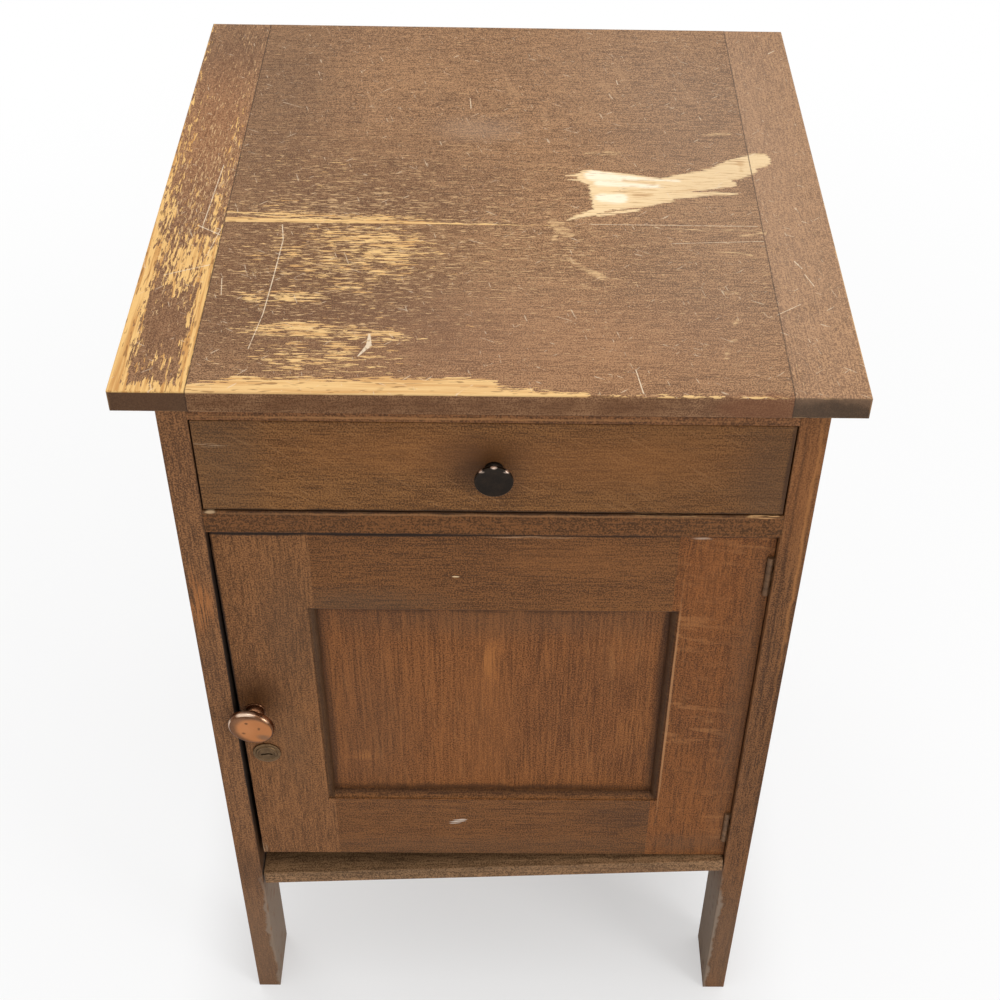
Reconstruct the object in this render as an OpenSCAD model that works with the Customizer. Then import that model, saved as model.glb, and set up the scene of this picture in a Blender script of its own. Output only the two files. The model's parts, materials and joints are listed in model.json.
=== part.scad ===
// Small oak cupboard for records: one drawer over a framed and panelled door.
// Millimetres, +Z up, the front faces -Y. The origin is on the floor, under the middle of the top.

/* [Overall] */
// Height from the floor to the top's upper face
cabinet_h = 700; // [660:5:780]
// Width of the top
top_w = 460; // [440:5:500]
// Depth of the top, front to back
top_d = 468; // [450:5:520]
// Thickness of the top
top_t = 16; // [14:0.5:22]
// How far the top stands past the front posts
front_overhang = 15; // [15:1:25]
// How far the top stands past the back
back_overhang = 13; // [4:1:20]
// How far the top stands past the left side
left_overhang = 23; // [15:1:28]
// How far the top stands past the right side
right_overhang = 19; // [15:1:28]

/* [Top boards] */
// Width of each end board, which runs front to back
end_board_w = 47; // [42:1:60]
// Depth of the front field board
front_board_d = 182; // [140:1:200]
// Depth of the middle field board
middle_board_d = 132; // [100:1:150]
// Length of the field boards' tongues in the end boards
top_tongue_l = 8; // [5:0.5:12]
// Thickness of those tongues
top_tongue_t = 5; // [4:0.5:7]
// Distance from the top's front and back edges to where its tongues end
top_tongue_stop = 14; // [8:1:24]

/* [Side frames] */
// Width of a post seen from the front, which is the side frame's thickness
post_w = 19; // [18:0.5:23]
// Depth of a post, front to back
post_d = 53; // [50:1:66]
// Height of the side top rails
side_top_rail_h = 60; // [50:1:80]
// Height of the side bottom rails
side_bottom_rail_h = 75; // [60:1:90]
// Height of the side bottom rails above the floor
side_rail_lift = 145; // [130:1:146]
// Thickness of the side panels
side_panel_t = 8; // [6:0.5:9]
// Depth of the panel grooves in the side frames and in the door
groove_depth = 8; // [6:0.5:9]
// Gap between a panel's edge and the bottom of its groove
panel_edge_gap = 0.8; // [0.5:0.1:1.5]
// Length of the side rails' tenons
side_tenon_l = 15; // [10:0.5:18]
// Thickness of all tenons
tenon_t = 7; // [5:0.5:8]
// Shoulder over and under the side rails' and the door rails' tenons
tenon_shoulder = 10; // [9.5:0.5:14]

/* [Front rails] */
// Height of the rail under the top
top_rail_h = 19; // [16:0.5:24]
// Height of the drawer opening
drawer_opening_h = 77.5; // [72:0.5:90]
// Height of the rail under the drawer
drawer_rail_h = 19.5; // [17:0.5:24]
// Depth of both front rails, front to back
front_rail_d = 45; // [40:1:48]
// Length of the front rails' and back rails' tenons
rail_tenon_l = 11; // [7:0.5:12]
// Distance from the rails' front to their tenons
rail_tenon_setback = 8; // [6:0.5:10]
// Depth of those tenons, front to back
rail_tenon_d = 18; // [12:0.5:20]
// Shoulder over and under those tenons
rail_tenon_shoulder = 3; // [2:0.5:5]

/* [Back] */
// Thickness of the back boards
back_board_t = 9; // [7:0.5:12]
// Gap between neighbouring back boards
back_board_gap = 0.6; // [0.3:0.1:1.5]
// Thickness of the back rails
back_rail_t = 19; // [16:0.5:22]
// Height of the back rails
back_rail_h = 50; // [40:1:60]

/* [Bottom] */
// Height of the bottom board's top face above the floor, at its right end
bottom_board_z = 197; // [192:1:215]
// Thickness of the bottom board
bottom_board_t = 14; // [12:0.5:18]
// How much lower the bottom board's left end has settled
bottom_drop = 22; // [0:1:22]
// Gap between the bottom board's left end and the post
bottom_left_gap = 1; // [0.5:0.5:6]
// Clearance between the bottom board's right end and the post
bottom_end_gap = 0.3; // [0.2:0.1:1]
// Width of the bearers under the bottom board
bearer_w = 12; // [12:1:16]
// Height of those bearers
bearer_h = 14; // [12:1:18]
// How far the bearers stop behind the posts' front
bearer_setback = 40; // [30:1:60]

/* [Drawer] */
// Gap round the drawer front in its opening
drawer_gap = 1; // [0.6:0.1:1.5]
// How far the drawer front lies behind the posts' front
drawer_recess = 0.5; // [0:0.1:3]
// Thickness of the drawer front
drawer_front_t = 19; // [17:0.5:22]
// Gap between the drawer's back end and the back rail
drawer_back_gap = 11.5; // [5:0.5:60]
// Thickness of the drawer sides and back
drawer_side_t = 10; // [8:0.5:12]
// Gap between the drawer sides and the kickers over them
drawer_top_gap = 3; // [1:0.5:8]
// Gap between the drawer sides and their runners
runner_gap = 0.3; // [0.2:0.1:0.6]
// Thickness of the drawer bottom
drawer_bottom_t = 5; // [4:0.5:6]
// Height of the drawer bottom's groove over the lower edge of the sides
drawer_bottom_lift = 9; // [8:0.5:12]
// Depth of that groove
drawer_groove_depth = 5; // [3:0.5:6]
// Length of the dovetail tails
tail_l = 13; // [10:0.5:14]
// Number of dovetail tails on each side
tail_count = 3; // [2:1:4]
// Slope of the tails, as length to width
tail_slope = 7; // [6:1:9]
// Width of the runners and kickers
runner_w = 20; // [18:1:26]
// Length of their stub tenons in the front rails
runner_tenon_l = 10; // [6:1:14]
// Shoulder round those tenons
runner_shoulder = 5; // [4:0.5:6]
// Width of each drawer stop block
stop_w = 30; // [20:1:40]
// Depth of each drawer stop block
stop_d = 12; // [8:1:16]
// Height of each drawer stop block
stop_h = 6; // [4:0.5:7]
// Distance of the stop blocks from the middle of the drawer
stop_offset = 110; // [60:5:130]

/* [Door] */
// How far the door's face lies behind the posts' front
door_recess = 5; // [4:0.5:7]
// Thickness of the door frame
door_t = 19; // [18:0.5:21]
// Gap at the door's lock edge, at the top
lock_edge_gap = 0.8; // [0.6:0.1:1.5]
// How much more the lock edge is planed away at the door's foot
lock_edge_taper = 2.5; // [0:0.1:4]
// Gap at the door's hinge edge
hinge_edge_gap = 0.6; // [0.5:0.1:1]
// Gap over the door
door_gap_top = 1.5; // [1:0.1:3]
// Gap under the door
door_gap_bottom = 1.5; // [1:0.1:3]
// Width of the door stiles, moulding included
door_stile_w = 65; // [60:1:75]
// Height of the door's top rail, moulding included
door_top_rail_h = 81; // [70:1:95]
// Height of the door's bottom rail, moulding included
door_bottom_rail_h = 78; // [70:1:95]
// Length of the door rails' tenons
door_tenon_l = 32; // [20:1:40]
// Width of the moulding round the panel
moulding_w = 5; // [3:0.5:7]
// Flat step at the moulding's outer edge
moulding_step = 1; // [0.5:0.1:2]
// How far the panel lies behind the door's face
panel_recess = 7; // [6:0.5:8]
// Thickness of the door panel
door_panel_t = 6; // [5:0.5:7]
// Width of the strip that the door closes against
door_stop_w = 8; // [6:0.5:8]
// Thickness of that strip
door_stop_t = 8; // [6:0.5:10]
// Gap between the closed door and the strip
door_stop_gap = 0.3; // [0.2:0.1:0.8]

/* [Hinges] */
// Height of a hinge
hinge_h = 36; // [30:1:50]
// Distance from the door's top or bottom to the nearer hinge end
hinge_inset = 21.5; // [15:0.5:50]
// Radius of the hinge knuckles
knuckle_r = 2.4; // [2.2:0.1:3]
// Number of knuckles on a hinge
knuckle_count = 5; // [3:2:7]
// Gap between neighbouring knuckles
knuckle_gap = 0.3; // [0.2:0.1:0.5]
// Radius of the hinge pins
hinge_pin_r = 1.2; // [1:0.1:1.4]
// Running clearance round the pins
hinge_pin_fit = 0.05; // [0.02:0.01:0.08]
// Thickness of the hinge leaves
leaf_t = 1.4; // [1.2:0.1:2]
// Depth of the hinge leaves, front to back
leaf_d = 16; // [13:0.5:16]
// Clearance round the knuckles in the door
knuckle_clearance = 0.4; // [0.3:0.1:0.6]

/* [Lock] */
// Distance of the lock's axis from the door's lock edge, at the top
lock_setback = 17; // [16:0.5:28]
// Height of the lock's axis above the door's foot
lock_z = 131.5; // [110:0.5:140]
// Radius of the lock's round face
lock_face_r = 10.6; // [9.5:0.1:12]
// Thickness of that face
lock_face_t = 1.8; // [1.2:0.1:3]
// Radius of the raised ring on the face
lock_ring_r = 8; // [7.5:0.1:9]
// Height of that ring
lock_ring_t = 0.6; // [0.3:0.1:1]
// Radius of the lock body in the door
lock_body_r = 7.2; // [6.8:0.1:7.6]
// How far the lock body stands out behind the door
lock_tail = 9; // [9:0.5:12]
// Radius of the plug
plug_r = 5.4; // [4.8:0.1:5.8]
// Running clearance round the plug
plug_fit = 0.05; // [0.02:0.01:0.08]
// Width of the keyway
keyway_w = 8.7; // [6:0.1:8.8]
// Height of the keyway
keyway_h = 1.5; // [1:0.1:2]
// Depth of the keyway
keyway_depth = 14; // [8:0.5:18]
// Length of the cam from the axis
cam_l = 16.3; // [13:0.1:16.3]
// Width of the cam
cam_w = 10; // [8:0.5:11]
// Thickness of the cam
cam_t = 2; // [1.5:0.1:3]
// Gap between the lock body and the cam
cam_gap = 0.3; // [0.2:0.1:0.5]
// Radius of the boss that the cam sits on
cam_boss_r = 3; // [2.5:0.1:3.5]
// Distance across the flats of the lock's nut
lock_nut_flats = 17; // [17:0.5:17.5]
// Thickness of that nut
lock_nut_t = 3.5; // [2.5:0.5:5]

/* [Knobs] */
// Radius of the door knob's head
door_knob_r = 17; // [14:0.5:18]
// Thickness of that head
door_knob_head_t = 5.5; // [4:0.5:7]
// How far the door knob stands out from the door's face
door_knob_out = 19.4; // [16:0.1:19.4]
// Radius of the door knob's shank at its foot
door_knob_shank_r = 6.8; // [5:0.1:7.5]
// Radius of the rose behind the door knob
rose_r = 7.8; // [7.6:0.1:10]
// Thickness of the rose
rose_t = 1.2; // [0.8:0.1:2]
// Distance of the door knob's axis from the door's lock edge, at the top
door_knob_setback = 12.8; // [12.8:0.1:25]
// Height of the door knob's axis above the door's foot
door_knob_z = 181; // [170:0.5:220]
// Radius of the drawer knob's head
drawer_knob_r = 12.2; // [10:0.1:16]
// Thickness of that head
drawer_knob_head_t = 4; // [3:0.5:6]
// How far the drawer knob stands out from the drawer's face
drawer_knob_out = 13; // [12:0.1:15]
// Radius of the drawer knob's shank at its foot
drawer_knob_shank_r = 6.3; // [5:0.1:8]
// Radius of the studs that hold both knobs
stud_r = 2.2; // [1.8:0.1:2.5]
// Clearance round studs, screws and nails
fastener_fit = 0.1; // [0.05:0.05:0.3]
// How far the studs stand out behind the wood
stud_tail = 4.5; // [3.5:0.5:7]
// Distance across the flats of the stud nuts
stud_nut_flats = 7.5; // [6.5:0.5:8]
// Thickness of the stud nuts
stud_nut_t = 3; // [2:0.5:3.5]

/* [Screws and nails] */
// Length of the wood screws
screw_l = 27; // [24:1:28]
// Radius of their shanks
screw_r = 2; // [1.5:0.1:2.2]
// Radius of their heads
screw_head_r = 3.8; // [3:0.1:4.2]
// Distance of the top's screws from the middle, in the front rail
top_screw_offset = 120; // [60:5:150]
// Distance of the kickers' screws from the middle, front to back
kicker_screw_offset = 120; // [60:5:120]
// Distance of the kickers' screws from the side frames
kicker_screw_in = 14; // [14:0.5:15]
// Length of the hinge screws
hinge_screw_l = 12; // [8:1:14]
// Radius of their shanks
hinge_screw_r = 1.2; // [0.9:0.1:1.4]
// Radius of their heads
hinge_screw_head_r = 2.3; // [1.8:0.1:2.6]
// Distance between neighbouring hinge screws
hinge_screw_step = 12; // [9:0.5:13]
// Length of the back nails
nail_l = 24; // [18:1:26]
// Radius of their shanks
nail_r = 0.9; // [0.7:0.1:1.2]
// Radius of their heads
nail_head_r = 2; // [1.6:0.1:2.5]
// Thickness of the nail heads, which lie in the boards
nail_head_t = 0.8; // [0.5:0.1:1.2]
// Distance of the nails from the edges of their board
nail_inset = 22; // [15:1:35]

/* [Hidden] */
eps = 0.01;
// How far the door's moulding cutters run past its opening
cut_over = 50;
round_fn = 64;
small_fn = 32;

front_y = -top_d / 2 + front_overhang;
back_y = top_d / 2 - back_overhang;
body_left = -top_w / 2 + left_overhang;
body_right = top_w / 2 - right_overhang;
inner_left = body_left + post_w;
inner_right = body_right - post_w;
body_mid = (body_left + body_right) / 2;
under_top = cabinet_h - top_t;

field_left = -top_w / 2 + end_board_w;
field_right = top_w / 2 - end_board_w;
tongue_z = cabinet_h - (top_t + top_tongue_t) / 2;
tongue_y = top_d / 2 - top_tongue_stop;

side_rail_y0 = front_y + post_d;
side_rail_y1 = back_y - post_d;
side_bottom_z1 = side_rail_lift + side_bottom_rail_h;
side_top_z0 = under_top - side_top_rail_h;

drawer_open_top = under_top - top_rail_h;
drawer_rail_top = drawer_open_top - drawer_opening_h;
door_open_top = drawer_rail_top - drawer_rail_h;

back_rail_y1 = back_y - back_board_t;
back_rail_y0 = back_rail_y1 - back_rail_t;
back_board_count = 3;
back_board_pitch = (inner_right - inner_left) / back_board_count;

// The bottom board turns about its right end, so its left end lies bottom_drop lower
bottom_tilt = atan(bottom_drop / (inner_right - inner_left - bottom_left_gap - bottom_end_gap));
bottom_right = inner_right - bottom_end_gap - bottom_board_t * sin(bottom_tilt);
bottom_board_w = (bottom_right - inner_left - bottom_left_gap) / cos(bottom_tilt);
bottom_d = back_rail_y0 - front_y - bottom_end_gap;

drawer_y0 = front_y + drawer_recess;
drawer_y1 = back_rail_y0 - drawer_back_gap;
drawer_back_of_front = drawer_y0 + drawer_front_t;
drawer_left = inner_left + drawer_gap;
drawer_right = inner_right - drawer_gap;
drawer_side_z = drawer_rail_top + runner_gap;
drawer_side_h = drawer_opening_h - runner_gap - drawer_top_gap;
drawer_bottom_z = drawer_side_z + drawer_bottom_lift;
drawer_mid_z = drawer_rail_top + drawer_opening_h / 2;
runner_y0 = front_y + front_rail_d;
runner_screw_y = back_rail_y0 - 12;

door_left = inner_left + lock_edge_gap;
door_right = inner_right - hinge_edge_gap;
door_top = door_open_top - door_gap_top;
door_bottom = bottom_board_z + door_gap_bottom;
door_y0 = front_y + door_recess;
door_y1 = door_y0 + door_t;
door_rail_x0 = door_left + door_stile_w;
door_rail_x1 = door_right - door_stile_w;
door_panel_y0 = door_y0 + panel_recess;
door_opening_z0 = door_bottom + door_bottom_rail_h;
door_opening_z1 = door_top - door_top_rail_h;
door_tenon_y = (door_panel_y0 * 2 + door_panel_t - tenon_t) / 2;
stop_y0 = door_y1 + door_stop_gap;

hinge_x = inner_right - knuckle_r - 0.3;
hinge_y = door_y0;
hinge_starts = [door_bottom + hinge_inset, door_top - hinge_inset - hinge_h];
knuckle_pitch = (hinge_h + knuckle_gap) / knuckle_count;
knuckle_h = knuckle_pitch - knuckle_gap;
door_leaf_y0 = hinge_y + knuckle_r + knuckle_clearance;

lock_x = door_left + lock_setback;
lock_axis_z = door_bottom + lock_z;
lock_face_y = door_y0 - lock_face_t - lock_ring_t;
lock_body_y1 = door_y1 + lock_tail;
cam_y0 = lock_body_y1 + cam_gap;
cam_y1 = cam_y0 + cam_t;

knob_x = door_left + door_knob_setback;
knob_z = door_bottom + door_knob_z;

// Box between two corners
module box(x0, x1, y0, y1, z0, z1) {
    translate([x0, y0, z0]) cube([x1 - x0, y1 - y0, z1 - z0]);
}

// Outline in X and Z, drawn out from y0 to y1
module slab(points, y0, y1) {
    translate([0, y1, 0]) rotate([90, 0, 0]) linear_extrude(y1 - y0) polygon(points);
}

// Turned profile, as radius and height along its axis, pointing along -Y
module turned(points, fn = round_fn) {
    rotate([90, 0, 0]) rotate_extrude($fn = fn) polygon(points);
}

// Straight rod along Y from y0 to y1
module rod_y(r, x, z, y0, y1, fn = small_fn) {
    translate([x, y1, z]) rotate([90, 0, 0]) cylinder(r = r, h = y1 - y0, $fn = fn);
}

// Points of a quarter round of radius r about [cx, cy], from angle a0 to a1
function arc(cx, cy, r, a0, a1, n = 6) =
    [for (i = [0 : n]) let (a = a0 + (a1 - a0) * i / n) [cx + r * cos(a), cy + r * sin(a)]];

// Wood screw pointing along +Z, its head's face at z = 0; grow widens it into its hole
module wood_screw(l, r, head_r, grow = 0) {
    head_h = head_r - r;
    tip = 3 * r;
    rotate_extrude($fn = small_fn)
        polygon([[0, 0], [head_r + grow, 0], [r + grow, head_h], [r + grow, l - tip],
                 [0.3 * r, l], [0, l]]);
}

module screw_slot(head_r) {
    translate([-head_r, -0.4, -eps]) cube([head_r * 2, 0.8, 0.8]);
}

// Where the top's screws stand: two in the front rail, two in each kicker
module at_top_screws() {
    for (x = [-top_screw_offset, top_screw_offset])
        translate([body_mid + x, front_y + front_rail_d / 2, drawer_open_top]) children();
    for (x = [inner_left + kicker_screw_in, inner_right - kicker_screw_in])
        for (y = [-kicker_screw_offset, kicker_screw_offset])
            translate([x, y, drawer_open_top]) children();
}

// Where the screws of the runners, kickers and bearers stand
module at_bearer_screws() {
    for (z = [drawer_rail_top - drawer_rail_h / 2, under_top - top_rail_h / 2]) {
        translate([inner_left + runner_w, runner_screw_y, z]) rotate([0, -90, 0]) children();
        translate([inner_right - runner_w, runner_screw_y, z]) rotate([0, 90, 0]) children();
    }
    for (y = [side_rail_y0 + 40, side_rail_y1 - 40]) {
        translate([inner_left + bearer_w, y, bearer_top(-1) - bearer_h / 2])
            rotate([0, -90, 0]) children();
        translate([inner_right - bearer_w, y, bearer_top(1) - bearer_h / 2])
            rotate([0, 90, 0]) children();
    }
}

module screw_hole() {
    wood_screw(screw_l, screw_r, screw_head_r, fastener_fit);
}

module top_screw_holes() {
    at_top_screws() screw_hole();
}

module bearer_screw_holes() {
    at_bearer_screws() screw_hole();
}

// Where the back nails stand: two in each board at each back rail
module at_back_nails() {
    for (i = [0 : back_board_count - 1])
        for (side = [nail_inset, back_board_pitch - nail_inset])
            for (z = [side_rail_lift + back_rail_h / 2, under_top - back_rail_h / 2])
                translate([inner_left + back_board_pitch * i + side, back_y, z])
                    rotate([90, 0, 0]) children();
}

module nail(grow = 0) {
    rotate_extrude($fn = small_fn)
        polygon([[0, 0], [nail_head_r + grow, 0], [nail_head_r + grow, nail_head_t],
                 [nail_r + grow, nail_head_t], [nail_r + grow, nail_l - 3], [0, nail_l]]);
}

module nail_holes() {
    at_back_nails() nail(fastener_fit);
}

// Top

module top_field_board(y0, y1) {
    color("#6b4a33") difference() {
        union() {
            box(field_left, field_right, y0, y1, under_top, cabinet_h);
            box(field_left - top_tongue_l, field_right + top_tongue_l,
                max(y0, -tongue_y), min(y1, tongue_y), tongue_z, tongue_z + top_tongue_t);
        }
        top_screw_holes();
    }
}

module top_board_front() {
    top_field_board(-top_d / 2, -top_d / 2 + front_board_d);
}

module top_board_middle() {
    y0 = -top_d / 2 + front_board_d;
    top_field_board(y0, y0 + middle_board_d);
}

module top_board_back() {
    top_field_board(-top_d / 2 + front_board_d + middle_board_d, top_d / 2);
}

module top_end(x0, x1) {
    color("#7a583c") difference() {
        box(x0, x1, -top_d / 2, top_d / 2, under_top, cabinet_h);
        box(field_left - top_tongue_l, field_right + top_tongue_l, -tongue_y, tongue_y,
            tongue_z, tongue_z + top_tongue_t);
    }
}

module top_end_left() {
    top_end(-top_w / 2, field_left);
}

module top_end_right() {
    top_end(field_right, top_w / 2);
}

// Side frames, side -1 on the left and 1 on the right

function side_x(side) = side < 0 ? body_left : inner_right;

module side_rail_solid(side, z0, z1) {
    x = side_x(side);
    tx = x + (post_w - tenon_t) / 2;
    box(x, x + post_w, side_rail_y0, side_rail_y1, z0, z1);
    box(tx, tx + tenon_t, side_rail_y0 - side_tenon_l, side_rail_y1 + side_tenon_l,
        z0 + tenon_shoulder, z1 - tenon_shoulder);
}

// Space of the side panel, grown by grow towards the grooves' bottoms
module side_panel_solid(side, grow = 0) {
    x = side_x(side) + (post_w - side_panel_t) / 2;
    reach = groove_depth - panel_edge_gap + grow;
    box(x, x + side_panel_t, side_rail_y0 - reach, side_rail_y1 + reach,
        side_bottom_z1 - reach, side_top_z0 + reach);
}

// Front rail's tenon block across the whole front, between z0 and z1
module front_rail_tenon(z0, z1) {
    y0 = front_y + rail_tenon_setback;
    box(inner_left - rail_tenon_l, inner_right + rail_tenon_l, y0, y0 + rail_tenon_d,
        z0 + rail_tenon_shoulder, z1 - rail_tenon_shoulder);
}

module back_rail_tenon(z0, z1) {
    y0 = (back_rail_y0 + back_rail_y1 - tenon_t) / 2;
    box(inner_left - rail_tenon_l, inner_right + rail_tenon_l, y0, y0 + tenon_t,
        z0 + rail_tenon_shoulder, z1 - rail_tenon_shoulder);
}

module post(side, y0) {
    x = side_x(side);
    difference() {
        box(x, x + post_w, y0, y0 + post_d, 0, under_top);
        side_rail_solid(side, side_rail_lift, side_bottom_z1);
        side_rail_solid(side, side_top_z0, under_top);
        side_panel_solid(side, panel_edge_gap);
        front_rail_tenon(drawer_open_top, under_top);
        front_rail_tenon(door_open_top, drawer_rail_top);
        back_rail_tenon(under_top - back_rail_h, under_top);
        back_rail_tenon(side_rail_lift, side_rail_lift + back_rail_h);
        bearer_screw_holes();
    }
}

module front_post_left() {
    color("#5f4230") post(-1, front_y);
}

module front_post_right() {
    color("#5f4230") difference() {
        post(1, front_y);
        for (z = hinge_starts) post_leaf_plate(z);
        at_hinge_screws(1) hinge_screw(fastener_fit);
    }
}

module back_post_left() {
    color("#5f4230") post(-1, back_y - post_d);
}

module back_post_right() {
    color("#5f4230") post(1, back_y - post_d);
}

module side_rail(side, z0, z1) {
    color("#634532") difference() {
        side_rail_solid(side, z0, z1);
        side_panel_solid(side, panel_edge_gap);
        bearer_screw_holes();
    }
}

module side_top_rail_left() {
    side_rail(-1, side_top_z0, under_top);
}

module side_top_rail_right() {
    side_rail(1, side_top_z0, under_top);
}

module side_bottom_rail_left() {
    side_rail(-1, side_rail_lift, side_bottom_z1);
}

module side_bottom_rail_right() {
    side_rail(1, side_rail_lift, side_bottom_z1);
}

module side_panel_left() {
    color("#6a4a30") side_panel_solid(-1);
}

module side_panel_right() {
    color("#6a4a30") side_panel_solid(1);
}

// Front rails

module front_rail(z0, z1) {
    difference() {
        box(inner_left, inner_right, front_y, runner_y0, z0, z1);
        runner_tenon(inner_left, z0, z1);
        runner_tenon(inner_right - runner_w, z0, z1);
    }
    front_rail_tenon(z0, z1);
}

// Stub tenon on the front end of a runner or kicker whose left face is at x0
module runner_tenon(x0, z0, z1) {
    box(x0 + runner_shoulder, x0 + runner_w - runner_shoulder, runner_y0 - runner_tenon_l, runner_y0,
        z0 + runner_shoulder, z1 - runner_shoulder);
}

module top_front_rail() {
    color("#5a3f2d") difference() {
        front_rail(drawer_open_top, under_top);
        top_screw_holes();
    }
}

module drawer_rail() {
    color("#5a3f2d") front_rail(door_open_top, drawer_rail_top);
}

// Back

module back_rail(z0) {
    color("#5a3f2d") difference() {
        union() {
            box(inner_left, inner_right, back_rail_y0, back_rail_y1, z0, z0 + back_rail_h);
            back_rail_tenon(z0, z0 + back_rail_h);
        }
        nail_holes();
    }
}

module back_top_rail() {
    back_rail(under_top - back_rail_h);
}

module back_bottom_rail() {
    back_rail(side_rail_lift);
}

module back_board(index) {
    x0 = inner_left + back_board_pitch * index;
    color("#644832") difference() {
        box(x0, x0 + back_board_pitch - back_board_gap, back_rail_y1, back_y,
            side_rail_lift, under_top);
        nail_holes();
    }
}

module back_board_left() {
    back_board(0);
}

module back_board_middle() {
    back_board(1);
}

module back_board_right() {
    back_board(2);
}

module back_nails() {
    color("#4a4540") at_back_nails() nail();
}

// Bottom

// Top of the bearer at one side: the lowest point of the board over it
function bearer_top(side) = side < 0
    ? bottom_board_z - bottom_board_w * sin(bottom_tilt) - bottom_board_t * cos(bottom_tilt)
    : bottom_board_z - bottom_board_t / cos(bottom_tilt)
        - (bottom_right - inner_right + bearer_w) * tan(bottom_tilt);

module bottom_board() {
    color("#6e5541") translate([bottom_right, front_y, bottom_board_z])
        rotate([0, -bottom_tilt, 0])
            translate([-bottom_board_w, 0, -bottom_board_t])
                cube([bottom_board_w, bottom_d, bottom_board_t]);
}

module bearer(side) {
    x0 = side < 0 ? inner_left : inner_right - bearer_w;
    z1 = bearer_top(side);
    color("#7a6048") difference() {
        box(x0, x0 + bearer_w, front_y + bearer_setback, back_rail_y0, z1 - bearer_h, z1);
        bearer_screw_holes();
    }
}

module bearer_left() {
    bearer(-1);
}

module bearer_right() {
    bearer(1);
}

// Inside the drawer space and behind the door

module runner(side, z0, z1) {
    x0 = side < 0 ? inner_left : inner_right - runner_w;
    color("#8a6c4e") difference() {
        union() {
            box(x0, x0 + runner_w, runner_y0, back_rail_y0, z0, z1);
            runner_tenon(x0, z0, z1);
        }
        bearer_screw_holes();
        top_screw_holes();
    }
}

module runner_left() {
    runner(-1, door_open_top, drawer_rail_top);
}

module runner_right() {
    runner(1, door_open_top, drawer_rail_top);
}

module kicker_left() {
    runner(-1, drawer_open_top, under_top);
}

module kicker_right() {
    runner(1, drawer_open_top, under_top);
}

module drawer_stops() {
    y0 = drawer_back_of_front + door_stop_gap;
    color("#8a6c4e") for (x = [-stop_offset, stop_offset])
        box(body_mid + x - stop_w / 2, body_mid + x + stop_w / 2, y0, y0 + stop_d,
            drawer_rail_top, drawer_rail_top + stop_h);
}

module door_stop() {
    color("#6e5238") box(inner_left, inner_left + door_stop_w, stop_y0, stop_y0 + door_stop_t,
        bottom_board_z, door_open_top);
}

module top_screws() {
    color("#5b5650") at_top_screws() difference() {
        wood_screw(screw_l, screw_r, screw_head_r);
        screw_slot(screw_head_r);
    }
}

module bearer_screws() {
    color("#5b5650") at_bearer_screws() difference() {
        wood_screw(screw_l, screw_r, screw_head_r);
        screw_slot(screw_head_r);
    }
}

// Drawer

// Tails of one drawer side, which lie in sockets in the drawer front and run a little into the side
module tails(x0, x1) {
    pitch = drawer_side_h / tail_count;
    root = pitch / 2;
    wide = root + 2 * tail_l / tail_slope;
    y0 = drawer_back_of_front - tail_l;
    for (i = [0 : tail_count - 1]) {
        z = drawer_side_z + pitch * (i + 0.5);
        translate([x1, 0, 0]) rotate([0, -90, 0]) linear_extrude(x1 - x0)
            polygon([[z - wide / 2, y0], [z + wide / 2, y0],
                     [z + root / 2, drawer_back_of_front], [z + root / 2, drawer_back_of_front + eps],
                     [z - root / 2, drawer_back_of_front + eps], [z - root / 2, drawer_back_of_front]]);
    }
}

module drawer_bottom_solid(grow = 0) {
    reach = drawer_groove_depth - panel_edge_gap + grow;
    box(drawer_left + drawer_side_t - reach, drawer_right - drawer_side_t + reach,
        drawer_back_of_front - reach, drawer_y1 + grow,
        drawer_bottom_z, drawer_bottom_z + drawer_bottom_t);
}

module drawer_front() {
    color("#5e4130") difference() {
        box(drawer_left, drawer_right, drawer_y0, drawer_back_of_front,
            drawer_rail_top + drawer_gap, drawer_open_top - drawer_gap);
        tails(drawer_left, drawer_left + drawer_side_t);
        tails(drawer_right - drawer_side_t, drawer_right);
        drawer_bottom_solid(panel_edge_gap);
        rod_y(stud_r + fastener_fit, body_mid, drawer_mid_z, drawer_y0 - 1, drawer_back_of_front + 1);
    }
}

module drawer_side(x0) {
    color("#9a7b58") difference() {
        union() {
            box(x0, x0 + drawer_side_t, drawer_back_of_front, drawer_y1,
                drawer_side_z, drawer_side_z + drawer_side_h);
            tails(x0, x0 + drawer_side_t);
        }
        drawer_bottom_solid(panel_edge_gap);
    }
}

module drawer_side_left() {
    drawer_side(drawer_left);
}

module drawer_side_right() {
    drawer_side(drawer_right - drawer_side_t);
}

module drawer_back() {
    color("#9a7b58") box(drawer_left + drawer_side_t, drawer_right - drawer_side_t,
        drawer_y1 - drawer_side_t, drawer_y1,
        drawer_bottom_z + drawer_bottom_t, drawer_side_z + drawer_side_h);
}

module drawer_bottom() {
    color("#a58660") drawer_bottom_solid();
}

// Knob with a flat round head, a waisted shank and a stud; its foot is at y = 0 and it points along -Y
module knob(head_r, head_t, out, shank_r, stud_l) {
    edge = head_t / 2;
    waist_r = shank_r * 0.72;
    under = out - head_t;
    turned(concat(
        [[0, -stud_l], [stud_r, -stud_l], [stud_r, 0], [shank_r, 0], [shank_r, under * 0.12]],
        arc(shank_r + 0.5, under * 0.5, shank_r + 0.5 - waist_r, 230, 130),
        [[shank_r * 1.25, under * 0.95]],
        arc(head_r - edge, under + edge, edge, -80, 70),
        [[head_r - edge * 1.6, out - 0.5], [0, out - 0.2]]
    ));
}

// Hexagonal nut on a stud or on the lock, its face on the wood at y
module nut(flats, bore_r, x, z, y, t) {
    translate([x, y, z]) rotate([-90, 0, 0]) difference() {
        rotate([0, 0, 30]) cylinder(r = flats / 2 / cos(30), h = t, $fn = 6);
        translate([0, 0, -1]) cylinder(r = bore_r, h = t + 2, $fn = small_fn);
    }
}

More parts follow.
